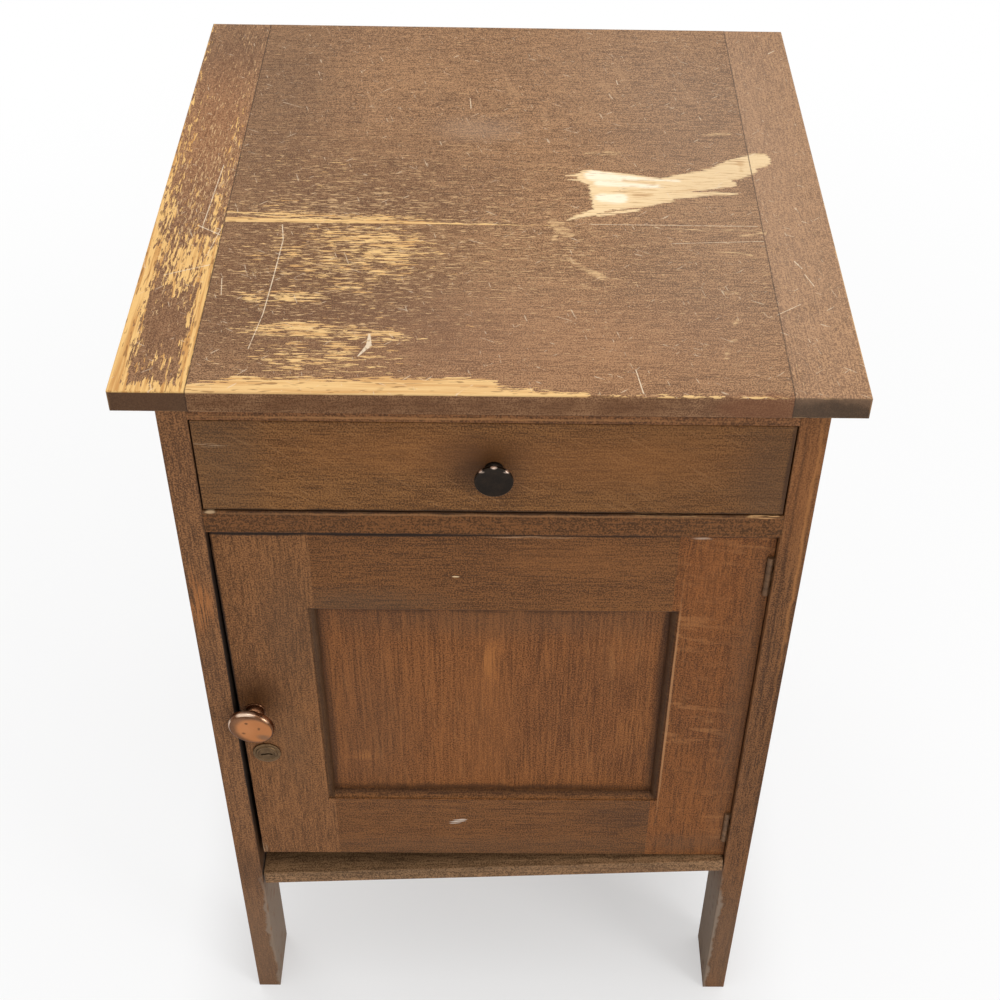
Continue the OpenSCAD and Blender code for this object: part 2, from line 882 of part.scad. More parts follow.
module drawer_knob() {
    color("#2b2724") translate([body_mid, drawer_y0, drawer_mid_z])
        knob(drawer_knob_r, drawer_knob_head_t, drawer_knob_out, drawer_knob_shank_r,
            drawer_front_t + stud_tail);
}

module drawer_knob_nut() {
    color("#8a7040") nut(stud_nut_flats, stud_r + hinge_pin_fit, body_mid, drawer_mid_z,
        drawer_back_of_front, stud_nut_t);
}

// Door

// Space of the door's moulded opening, from the face to the panel, with mitred corners
module door_opening_cut() {
    xa = door_rail_x0;
    xb = door_rail_x1;
    za = door_opening_z0;
    zb = door_opening_z1;
    rise = panel_recess - moulding_step;
    steps = 5;
    side = [for (i = [0 : steps]) let (a = 90 * i / steps)
        [moulding_w * (1 - sin(a)), moulding_step + rise * (1 - cos(a))]];
    left = concat([[moulding_w, -1]], side);
    intersection() {
        // Profile in X and Y, drawn out along Z
        translate([0, 0, za - cut_over]) linear_extrude(zb - za + 2 * cut_over)
            polygon(concat([for (p = left) [xa - p[0], door_y0 + p[1]]],
                [for (i = [len(left) - 1 : -1 : 0]) [xb + left[i][0], door_y0 + left[i][1]]]));
        // Profile in Z and Y, drawn out along X
        translate([xa - cut_over, 0, 0]) rotate([90, 0, 90]) linear_extrude(xb - xa + 2 * cut_over)
            polygon(concat([for (p = left) [door_y0 + p[1], za - p[0]]],
                [for (i = [len(left) - 1 : -1 : 0]) [door_y0 + left[i][1], zb + left[i][0]]]));
    }
}

module door_panel_solid(grow = 0) {
    reach = groove_depth - panel_edge_gap + grow;
    box(door_rail_x0 - reach, door_rail_x1 + reach, door_panel_y0, door_panel_y0 + door_panel_t,
        door_opening_z0 - reach, door_opening_z1 + reach);
}

module door_rail_tenon(z0, z1) {
    box(door_rail_x0 - door_tenon_l, door_rail_x1 + door_tenon_l, door_tenon_y, door_tenon_y + tenon_t,
        z0 + tenon_shoulder, z1 - tenon_shoulder);
}

module door_cuts() {
    door_opening_cut();
    door_panel_solid(panel_edge_gap);
}

module stile_cuts() {
    door_cuts();
    door_rail_tenon(door_bottom, door_opening_z0);
    door_rail_tenon(door_opening_z1, door_top);
}

module lock_stile() {
    color("#5f4230") difference() {
        slab([[door_left, door_top], [door_left + lock_edge_taper, door_bottom],
              [door_rail_x0, door_bottom], [door_rail_x0, door_top]], door_y0, door_y1);
        stile_cuts();
        rod_y(lock_body_r + fastener_fit, lock_x, lock_axis_z, door_y0 - 1, door_y1 + 1, round_fn);
        rod_y(stud_r + fastener_fit, knob_x, knob_z, door_y0 - 1, door_y1 + 1);
    }
}

module hinge_stile() {
    color("#604331") difference() {
        box(door_rail_x1, door_right, door_y0, door_y1, door_bottom, door_top);
        stile_cuts();
        for (z = hinge_starts) {
            box(hinge_x - knuckle_r - knuckle_clearance, door_right + 1, door_y0 - 1, door_leaf_y0,
                z - knuckle_gap, z + hinge_h + knuckle_gap);
            door_leaf_plate(z);
        }
        at_hinge_screws(-1) hinge_screw(fastener_fit);
    }
}

module door_rail(z0, z1) {
    difference() {
        union() {
            box(door_rail_x0, door_rail_x1, door_y0, door_y1, z0, z1);
            door_rail_tenon(z0, z1);
        }
        door_cuts();
    }
}

module door_top_rail() {
    color("#604431") door_rail(door_opening_z1, door_top);
}

module door_bottom_rail() {
    color("#604431") door_rail(door_bottom, door_opening_z0);
}

module door_panel() {
    color("#6b4a2f") door_panel_solid();
}

module door_knob() {
    color("#a8683f") translate([knob_x, door_y0 - rose_t, knob_z])
        knob(door_knob_r, door_knob_head_t, door_knob_out - rose_t, door_knob_shank_r,
            rose_t + door_t + stud_tail);
}

module door_knob_rose() {
    color("#7a6248") translate([knob_x, door_y0, knob_z]) turned([
        [stud_r + hinge_pin_fit, 0], [rose_r, 0], [rose_r, rose_t - 0.4], [rose_r - 0.4, rose_t],
        [stud_r + hinge_pin_fit, rose_t]]);
}

module door_knob_nut() {
    color("#8a7040") nut(stud_nut_flats, stud_r + hinge_pin_fit, knob_x, knob_z, door_y1, stud_nut_t);
}

// Lock

module lock_body() {
    bore = plug_r + plug_fit;
    back = lock_body_y1 - door_y0;
    color("#7d7058") translate([lock_x, door_y0, lock_axis_z]) turned([
        [bore, -back], [lock_body_r, -back], [lock_body_r, 0], [lock_face_r, 0],
        [lock_face_r, lock_face_t * 0.5], [lock_face_r - 0.9, lock_face_t],
        [lock_ring_r + 0.6, lock_face_t], [lock_ring_r, lock_face_t + lock_ring_t],
        [bore, lock_face_t + lock_ring_t]]);
}

module lock_nut() {
    color("#7d7058") nut(lock_nut_flats, lock_body_r + hinge_pin_fit, lock_x, lock_axis_z, door_y1,
        lock_nut_t);
}

module lock_plug() {
    w = keyway_w / 2;
    h = keyway_h / 2;
    wave = keyway_h * 0.4;
    color("#857860") difference() {
        union() {
            rod_y(plug_r, lock_x, lock_axis_z, lock_face_y, cam_y0, round_fn);
            rod_y(cam_boss_r, lock_x, lock_axis_z, cam_y0 - 1, cam_y1);
        }
        translate([lock_x, 0, lock_axis_z])
            slab([[-w, -h - wave], [-w * 0.3, -h], [w * 0.3, -h + wave], [w, -h],
                  [w, h], [w * 0.3, h + wave], [-w * 0.3, h], [-w, h - wave]],
                lock_face_y - 1, lock_face_y + keyway_depth);
        rod_y(hinge_screw_r + fastener_fit, lock_x, lock_axis_z, cam_y1 - hinge_screw_l, cam_y1 + 1);
    }
}

module lock_cam() {
    color("#8f8a80") difference() {
        union() {
            rod_y(cam_w / 2, lock_x, lock_axis_z, cam_y0, cam_y1);
            box(lock_x - cam_w / 2, lock_x + cam_w / 2, cam_y0, cam_y1,
                lock_axis_z - cam_l, lock_axis_z);
        }
        rod_y(cam_boss_r + hinge_pin_fit, lock_x, lock_axis_z, cam_y0 - 1, cam_y1 + 1);
    }
}

module lock_cam_screw() {
    head_t = 1.6;
    color("#8f8a80") translate([lock_x, cam_y1, lock_axis_z]) rotate([90, 0, 0]) difference() {
        union() {
            translate([0, 0, -head_t]) cylinder(r = cam_boss_r + 1, h = head_t, $fn = small_fn);
            cylinder(r = hinge_screw_r, h = hinge_screw_l - 1, $fn = small_fn);
        }
        translate([0, 0, -head_t]) screw_slot(cam_boss_r + 1);
    }
}

// Hinges

// Knuckles of one hinge at height z: kind 0 belongs to the post, kind 1 to the door
module knuckles(z, kind) {
    for (i = [kind : 2 : knuckle_count - 1])
        translate([hinge_x, hinge_y, z + knuckle_pitch * i]) children();
}

module post_leaf_plate(z) {
    box(inner_right, inner_right + leaf_t, hinge_y - leaf_t, hinge_y - leaf_t + leaf_d, z, z + hinge_h);
}

module door_leaf_plate(z) {
    box(door_right - leaf_t, door_right, door_leaf_y0, door_leaf_y0 + leaf_d - leaf_t * 3, z, z + hinge_h);
}

module hinge_leaves_post() {
    color("#7a6a4c") difference() {
        for (z = hinge_starts) {
            post_leaf_plate(z);
            knuckles(z, 0) {
                cylinder(r = knuckle_r, h = knuckle_h, $fn = small_fn);
                translate([0, -leaf_t / 2, 0]) cube([inner_right + eps - hinge_x, leaf_t, knuckle_h]);
            }
        }
        hinge_pin_bores();
        at_hinge_screws(1) hinge_screw(fastener_fit);
    }
}

module hinge_leaves_door() {
    color("#7a6a4c") difference() {
        for (z = hinge_starts) {
            door_leaf_plate(z);
            knuckles(z, 1) {
                cylinder(r = knuckle_r, h = knuckle_h, $fn = small_fn);
                translate([door_right - leaf_t - hinge_x, 0, 0])
                    cube([leaf_t, door_leaf_y0 + eps - hinge_y, knuckle_h]);
            }
        }
        hinge_pin_bores();
        at_hinge_screws(-1) hinge_screw(fastener_fit);
    }
}

module hinge_pin_bores() {
    for (z = hinge_starts)
        translate([hinge_x, hinge_y, z - 1])
            cylinder(r = hinge_pin_r + hinge_pin_fit, h = hinge_h + 2, $fn = small_fn);
}

module hinge_pins() {
    color("#8a7a58") for (z = hinge_starts)
        translate([hinge_x, hinge_y, z]) cylinder(r = hinge_pin_r, h = hinge_h, $fn = small_fn);
}

// Where the hinge screws stand: side 1 goes into the post, -1 into the door
module at_hinge_screws(side) {
    post_y = (hinge_y + knuckle_r + hinge_y - leaf_t + leaf_d) / 2;
    door_y = door_leaf_y0 + (leaf_d - leaf_t * 3) / 2;
    for (z = hinge_starts)
        for (dz = [-hinge_screw_step, 0, hinge_screw_step])
            translate([side > 0 ? inner_right : door_right, side > 0 ? post_y : door_y,
                       z + hinge_h / 2 + dz])
                rotate([0, side * 90, 0]) children();
}

module hinge_screw(grow = 0) {
    wood_screw(hinge_screw_l, hinge_screw_r, hinge_screw_head_r, grow);
}

module hinge_screw_group(side) {
    color("#8a7a58") at_hinge_screws(side) difference() {
        hinge_screw();
        screw_slot(hinge_screw_head_r);
    }
}

module hinge_screws_post() {
    hinge_screw_group(1);
}

module hinge_screws_door() {
    hinge_screw_group(-1);
}

top_board_front();
top_board_middle();
top_board_back();
top_end_left();
top_end_right();
front_post_left();
front_post_right();
back_post_left();
back_post_right();
side_top_rail_left();
side_top_rail_right();
side_bottom_rail_left();
side_bottom_rail_right();
side_panel_left();
side_panel_right();
top_front_rail();
drawer_rail();
back_top_rail();
back_bottom_rail();
back_board_left();
back_board_middle();
back_board_right();
bottom_board();
bearer_left();
bearer_right();
runner_left();
runner_right();
kicker_left();
kicker_right();
drawer_stops();
door_stop();
top_screws();
bearer_screws();
back_nails();
drawer_front();
drawer_side_left();
drawer_side_right();
drawer_back();
drawer_bottom();
drawer_knob();
drawer_knob_nut();
lock_stile();
hinge_stile();
door_top_rail();
door_bottom_rail();
door_panel();
door_knob();
door_knob_rose();
door_knob_nut();
lock_body();
lock_nut();
lock_plug();
lock_cam();
lock_cam_screw();
hinge_leaves_post();
hinge_leaves_door();
hinge_pins();
hinge_screws_post();
hinge_screws_door();
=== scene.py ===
# Looks of a small old oak cabinet for records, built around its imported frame
import itertools
import json
import math

import bpy
from mathutils import Matrix, Vector


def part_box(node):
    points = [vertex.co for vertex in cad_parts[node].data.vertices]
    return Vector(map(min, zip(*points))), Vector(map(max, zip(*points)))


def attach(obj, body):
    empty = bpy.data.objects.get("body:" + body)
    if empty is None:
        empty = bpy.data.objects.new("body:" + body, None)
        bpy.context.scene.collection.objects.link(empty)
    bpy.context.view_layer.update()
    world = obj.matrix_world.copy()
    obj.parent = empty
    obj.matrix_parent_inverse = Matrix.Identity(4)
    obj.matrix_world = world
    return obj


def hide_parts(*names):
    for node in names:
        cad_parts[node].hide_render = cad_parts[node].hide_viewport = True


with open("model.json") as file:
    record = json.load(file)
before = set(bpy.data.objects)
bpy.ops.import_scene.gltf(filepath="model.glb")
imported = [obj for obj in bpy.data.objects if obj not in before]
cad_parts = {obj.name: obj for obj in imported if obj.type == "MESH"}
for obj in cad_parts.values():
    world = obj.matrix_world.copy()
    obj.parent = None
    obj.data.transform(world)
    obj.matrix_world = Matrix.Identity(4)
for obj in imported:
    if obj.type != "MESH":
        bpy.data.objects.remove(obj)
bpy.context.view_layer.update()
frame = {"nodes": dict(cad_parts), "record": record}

print("frame loaded:", len(frame["nodes"]), "nodes")
bpy.context.scene.view_settings.view_transform = "Standard"

mm = 0.001
axisX, axisY, axisZ = 0, 1, 2

# Camera

cameraLook = {
    "place": (0.0086, -0.9834, 1.3153),  # metres
    "yaw": -1.256,  # degrees, to the right of straight ahead when negative
    "pitch": 43.089,  # degrees below the horizon
    "roll": 1.409,
    "focal": 1616.5,  # pixels, in an image of 1000 by 1000
    "middle": 530.0,  # pixel column of the optical axis
    "image": 1000.0,
    "sensor": 36.0,  # mm
}


def makeCamera(look):
    yaw, pitch, roll = (math.radians(look[key]) for key in ("yaw", "pitch", "roll"))
    level = math.cos(pitch)
    ahead = Vector((-math.sin(yaw) * level, math.cos(yaw) * level, -math.sin(pitch)))
    right = Vector((math.cos(yaw), math.sin(yaw), 0))
    up = right.cross(ahead)
    turnedRight = right * math.cos(roll) + up * math.sin(roll)
    turnedUp = up * math.cos(roll) - right * math.sin(roll)
    data = bpy.data.cameras.new("camera")
    data.sensor_width = look["sensor"]
    data.lens = look["focal"] / look["image"] * look["sensor"]
    data.shift_x = 0.5 - look["middle"] / look["image"]
    camera = bpy.data.objects.new("camera", data)
    bpy.context.collection.objects.link(camera)
    turn = Matrix((turnedRight, turnedUp, -ahead)).transposed().to_4x4()
    camera.matrix_world = Matrix.Translation(look["place"]) @ turn
    bpy.context.scene.camera = camera


makeCamera(cameraLook)
print("camera placed")

# Helpers for the node trees


def rgb(red, green, blue):
    # a colour as a paint program gives it, 0 to 255, taken through the sRGB curve
    levels = (level / 255 for level in (red, green, blue))
    return tuple((level / 12.92 if level < 0.0404 else ((level + 0.055) / 1.055) ** 2.4)
                 for level in levels) + (1.0,)


def feed(tree, socket, value):
    if isinstance(value, bpy.types.NodeSocket):
        tree.links.new(value, socket)
    elif value is not None:
        socket.default_value = value


def addNode(tree, kind, inputs=None, **settings):
    made = tree.nodes.new("ShaderNode" + kind)
    for key, value in settings.items():
        setattr(made, key, value)
    for key, value in (inputs or {}).items():
        feed(tree, made.inputs[key], value)
    return made


def calc(tree, operation, *values):
    made = addNode(tree, "Math", operation=operation)
    for socket, value in zip(made.inputs, values):
        feed(tree, socket, value)
    return made.outputs[0]


def clamped(tree, value):
    # a node of its own, because a Math node's clamp is worked out too late for a long finish
    return addNode(tree, "Clamp", {"Value": value}).outputs[0]


def vectorCalc(tree, operation, *values, output=0):
    made = addNode(tree, "VectorMath", operation=operation)
    for socket, value in zip(made.inputs, values):
        feed(tree, socket, value)
    return made.outputs[output]


def fade(tree, value, low, high, fromLow=0.0, toHigh=1.0):
    # 0 below low and 1 above high, smooth between; low may be the higher number
    made = addNode(tree, "MapRange", {"Value": value, "From Min": low, "From Max": high,
                                      "To Min": fromLow, "To Max": toHigh},
                   interpolation_type="SMOOTHSTEP", clamp=True)
    return made.outputs[0]


def mixColor(tree, amount, first, second):
    made = addNode(tree, "Mix", data_type="RGBA", clamp_factor=True)
    feed(tree, made.inputs[0], amount)
    feed(tree, made.inputs[6], first)
    feed(tree, made.inputs[7], second)
    return made.outputs[2]


def noise(tree, coords, detail=2.0, rough=0.5):
    made = addNode(tree, "TexNoise", {"Vector": coords, "Scale": 1.0, "Detail": detail,
                                      "Roughness": rough})
    return made.outputs[0]


seedStep = (3.71, 5.33, 7.97)  # how far one unit of a seed moves a pattern along x, y and z


def mapped(tree, coords, scale, seed=0.0, turn=None):
    # turned first, so that the scale is along the turned axes
    if turn:
        coords = addNode(tree, "Mapping", {"Vector": coords, "Rotation": turn}).outputs[0]
    shift = tuple(seed * step for step in seedStep)
    made = addNode(tree, "Mapping", {"Vector": coords, "Scale": scale, "Location": shift})
    return made.outputs[0]


def alongGrain(tree, coords, along, across, lengthwise, seed=0.0):
    # texture coordinates with so many cycles per metre across and along the grain
    scale = [across] * 3
    scale[along] = lengthwise
    return mapped(tree, coords, scale, seed)


def shaken(tree, coords, value, reach):
    # moves the coordinates by a noise value, by as much as reach in mm
    shift = calc(tree, "MULTIPLY_ADD", value, reach * mm, -reach / 2 * mm)
    vector = addNode(tree, "CombineXYZ", {0: shift, 1: shift, 2: shift}).outputs[0]
    return vectorCalc(tree, "ADD", coords, vector)


def blob(tree, coords, at, size, soft=0.5):
    # 1 in the middle of an ellipsoid and 0 outside it; a size of None means any distance
    scale = [0 if s is None else 1 / s for s in size]
    shift = [-a * s for a, s in zip(at, scale)]
    local = addNode(tree, "Mapping", {"Vector": coords, "Scale": scale, "Location": shift})
    away = vectorCalc(tree, "LENGTH", local.outputs[0], output=1)
    return fade(tree, away, 1.0 + soft, 1.0 - soft)


def sumOf(tree, values):
    total = values[0]
    for value in values[1:]:
        total = calc(tree, "ADD", total, value)
    return total


def greatestOf(tree, values):
    total = values[0]
    for value in values[1:]:
        total = calc(tree, "MAXIMUM", total, value)
    return total


def makeStrokeGroup():
    # distance from the edge of a stroke that runs from A along Run, with a radius at each end
    group = bpy.data.node_groups.new("strokeDistance", "ShaderNodeTree")
    for name, kind in (("Point", "NodeSocketVector"), ("A", "NodeSocketVector"),
                       ("Run", "NodeSocketVector"), ("Share", "NodeSocketFloat"),
                       ("Start", "NodeSocketFloat"), ("End", "NodeSocketFloat")):
        group.interface.new_socket(name, in_out="INPUT", socket_type=kind)
    group.interface.new_socket("Distance", in_out="OUTPUT", socket_type="NodeSocketFloat")
    given = group.nodes.new("NodeGroupInput").outputs
    result = group.nodes.new("NodeGroupOutput").inputs
    away = vectorCalc(group, "SUBTRACT", given["Point"], given["A"])
    part = clamped(group, calc(group, "MULTIPLY", given["Share"],
                               vectorCalc(group, "DOT_PRODUCT", away, given["Run"], output=1)))
    nearest = addNode(group, "VectorMath", {0: given["Run"], "Scale": part},
                      operation="SCALE").outputs[0]
    gap = vectorCalc(group, "DISTANCE", away, nearest, output=1)
    grown = calc(group, "SUBTRACT", given["End"], given["Start"])
    radius = calc(group, "MULTIPLY_ADD", grown, part, given["Start"])
    group.links.new(calc(group, "SUBTRACT", gap, radius), result[0])
    return group


strokeGroup = makeStrokeGroup()


def strokes(tree, coords, paths):
    # distance from the nearest of several strokes, each (x, y, x, y, radius, radius) in mm
    nearest = None
    for ax, ay, bx, by, start, end in paths:
        run = Vector((bx - ax, by - ay, 0)) * mm
        made = tree.nodes.new("ShaderNodeGroup")
        made.node_tree = strokeGroup
        feed(tree, made.inputs["Point"], coords)
        made.inputs["A"].default_value = (ax * mm, ay * mm, 0)
        made.inputs["Run"].default_value = run
        made.inputs["Share"].default_value = 1 / max(run.length_squared, 1e-9)
        made.inputs["Start"].default_value = start * mm
        made.inputs["End"].default_value = end * mm
        out = made.outputs[0]
        nearest = out if nearest is None else calc(tree, "MINIMUM", nearest, out)
    return nearest


def newFinish(name):
    material = bpy.data.materials.new(name)
    material.use_nodes = True
    tree = material.node_tree
    tree.nodes.clear()
    shader = addNode(tree, "BsdfPrincipled")
    output = addNode(tree, "OutputMaterial")
    tree.links.new(shader.outputs[0], output.inputs[0])
    return material, tree, shader


# Marks: stains, lighter tones, grime, chips, painted shade and painted highlights at named places,
# all in mm


def spot(at, size, gain, color, **more):
    # its middle and half sizes, where None means any distance, and its strength; more can be
    # soft, how wide its edge is, shake, how far noise moves it, and torn, how much the grain
    # breaks it up
    return {"at": at, "size": size, "gain": gain, "color": color, **more}


def mark(x, z, wide, high, gain, color, **more):
    # a spot on an upright front, which goes through the board or as deep as its finish's reach
    return spot((x, 0, z), (wide, None, high), gain, color, **more)


tornCut = (0.60, 0.66)  # streaks between which a torn mark shows


def withMarks(tree, color, marks, point, loose, shake, soft, reach=None, streak=None):
    for one in marks:
        (x, y, z), (wide, deep, high) = one["at"], one["size"]
        if deep is None and reach:
            y, deep = reach
        here = shaken(tree, point, loose, one.get("shake", shake))
        mask = blob(tree, here, [value * mm for value in (x, y, z)],
                    [value and value * mm for value in (wide, deep, high)], one.get("soft", soft))
        if one.get("torn"):
            torn = fade(tree, streak, *(cut - one["torn"] for cut in tornCut))
            mask = calc(tree, "MULTIPLY", mask, torn)
        color = mixColor(tree, calc(tree, "MULTIPLY", mask, one["gain"]), color, one["color"])
    return color


# Oak: bands, streaks and pores along the grain, rays across it, dirt, worn edges and painted shade
# in recesses

oakLook = {
    "grain": axisX,
    "seed": 1.0,
    "dark": rgb(86, 54, 30),
    "light": rgb(146, 99, 60),
    "band": (150, 5.0, 0.30),  # cycles per metre across and along the grain, and strength
    "streak": (900, 42, 0.95),
    "sand": ((1000, 1000, 800), 1.25),  # cycles per metre along x, y and z, and strength
    "pore": (700, 60, 0.30),
    "blotch": (9, 0.35),  # cycles per metre and strength
    "wave": (6, 2.0),  # cycles per metre and mm that the grain wanders
    "rays": (),
    "ends": 0.5,  # how much darker end grain is
    "edges": (0.35, rgb(150, 108, 72)),  # worn edges: strength and colour
    # painted shade in a recess: the axis, where it starts and is full in mm, its strength, and
    # another axis that bounds it the same
    "recess": None,
    "marks": (),
    "reach": None,  # y of the front face and how far marks go in from it, in mm
    # the colour of the pores, of the end grain and of the painted shade in a recess
    "dirt": rgb(54, 36, 22),
    "rough": (0.62, 0.2),  # middle and span
    "gloss": 0.18,
    "bump": 0.4,
    "wear": None,
}

# what all boards share; a cut is the pair of values between which a thing starts and is full
oakNature = {
    "driftSpan": 4,  # noise keeps to about a quarter of its range
    "poreCut": (0.56, 0.68),
    "rayEdge": 0.12,
    "rayPlaces": 14,  # cycles per metre
    "rayPlacesCut": (0.38, 0.6, 0.25, 1.0),
    "endCut": (0.75, 0.95),  # how squarely the grain meets a face
    "arrisCut": (0.985, 0.93),  # how squarely a face looks along an axis
    "arrisBreaks": 110,
    "arrisBreaksCut": (0.44, 0.62),
    "looseness": 60,
    "shake": 14,
    "soft": 0.8,
    "streakHeight": 0.8,
    "bareRough": 0.2,
    "bareDepth": -0.6,
    "bumpDistance": 0.0003,
}


def oak(name, **changes):
    # the parts added to the seed only keep one noise apart from the next
    look = {**oakNature, **oakLook, **changes}
    material, tree, shader = newFinish(name)
    coords = addNode(tree, "TexCoord").outputs
    point, normal = coords["Object"], coords["Normal"]
    along, seed = look["grain"], look["seed"]

    # the grain wanders a little
    perMetre, wander = look["wave"]
    drift = noise(tree, mapped(tree, point, (perMetre,) * 3, seed), detail=1.0)
    wandering = shaken(tree, point, drift, wander * look["driftSpan"])

    def layer(key, detail, extra):
        across, lengthwise, strength = look[key]
        here = alongGrain(tree, wandering, along, across, lengthwise, seed + extra)
        return noise(tree, here, detail, 0.6), strength

    band, bandGain = layer("band", 3.0, 0.0)
    streak, streakGain = layer("streak", 2.0, 0.31)
    pore, poreGain = layer("pore", 1.0, 0.57)
    (blotches, blotchGain), (grit, sandGain) = look["blotch"], look["sand"]
    blotch = noise(tree, mapped(tree, point, (blotches,) * 3, seed + 0.83), detail=3.0)
    sand = noise(tree, mapped(tree, point, grit, seed + 0.49), detail=0.0)
    parts = [calc(tree, "MULTIPLY", calc(tree, "SUBTRACT", value, 0.5), gain * 2)
             for value, gain in ((band, bandGain), (streak, streakGain), (sand, sandGain),
                                 (blotch, blotchGain))]
    tone = clamped(tree, calc(tree, "ADD", sumOf(tree, parts), 0.5))
    color = mixColor(tree, tone, look["dark"], look["light"])

    for rays in look["rays"]:
        here = mapped(tree, wandering, rays["scale"], seed + 0.19, rays["turn"])
        figure = fade(tree, noise(tree, here, 2.0), rays["cut"], rays["cut"] + look["rayEdge"])
        where = noise(tree, mapped(tree, point, (look["rayPlaces"],) * 3, seed + 0.41), 1.0)
        figure = calc(tree, "MULTIPLY", figure, fade(tree, where, *look["rayPlacesCut"]))
        color = mixColor(tree, calc(tree, "MULTIPLY", figure, rays["gain"]), color, rays["color"])

    poreMask = fade(tree, pore, *look["poreCut"])
    color = mixColor(tree, calc(tree, "MULTIPLY", poreMask, poreGain), color, look["dirt"])

    # end grain and worn edges show by the way a face looks
    away = vectorCalc(tree, "ABSOLUTE", normal)
    sides = addNode(tree, "SeparateXYZ", {0: away}).outputs
    endGrain = calc(tree, "MULTIPLY", fade(tree, sides[along], *look["endCut"]), look["ends"])
    color = mixColor(tree, endGrain, color, look["dirt"])
    edge = fade(tree, greatestOf(tree, list(sides)), *look["arrisCut"])
    broken = noise(tree, mapped(tree, point, (look["arrisBreaks"],) * 3, seed + 0.27), 3.0)
    edge = calc(tree, "MULTIPLY", edge, fade(tree, broken, *look["arrisBreaksCut"]))
    edgeGain, edgeColor = look["edges"]
    color = mixColor(tree, calc(tree, "MULTIPLY", edge, edgeGain), color, edgeColor)
    # painted shade, darker the deeper a face lies in a recess
    if look["recess"]:
        axis, start, full, gain, bound = look["recess"]
        places = addNode(tree, "SeparateXYZ", {0: point}).outputs
        inside = calc(tree, "MULTIPLY", fade(tree, places[axis], start * mm, full * mm), gain)
        if bound:
            axis, start, full = bound
            inside = calc(tree, "MULTIPLY", inside, fade(tree, places[axis], start * mm, full * mm))
        color = mixColor(tree, inside, color, look["dirt"])

    if look["marks"]:
        loose = noise(tree, mapped(tree, point, (look["looseness"],) * 3, seed + 0.66), 3.0)
        color = withMarks(tree, color, look["marks"], point, loose, look["shake"], look["soft"],
                          look["reach"], streak)

    height = calc(tree, "MULTIPLY_ADD", poreMask, -1.0,
                  calc(tree, "MULTIPLY", streak, look["streakHeight"]))
    middle, span = look["rough"]
    roughness = calc(tree, "MULTIPLY_ADD", blotch, span, middle - span / 2)
    if look["wear"]:
        color, bare = look["wear"](tree, point, color, along, seed)
        roughness = calc(tree, "MULTIPLY_ADD", bare, look["bareRough"], roughness)
        height = calc(tree, "MULTIPLY_ADD", bare, look["bareDepth"], height)
    bump = addNode(tree, "Bump", {"Height": height, "Strength": look["bump"],
                                  "Distance": look["bumpDistance"]})
    feed(tree, shader.inputs["Base Color"], color)
    feed(tree, shader.inputs["Roughness"], roughness)
    feed(tree, shader.inputs["Normal"], bump.outputs[0])
    shader.inputs["Specular IOR Level"].default_value = look["gloss"]
    return material


# Wear on the top: bare flecks and strips, a scar, scratches

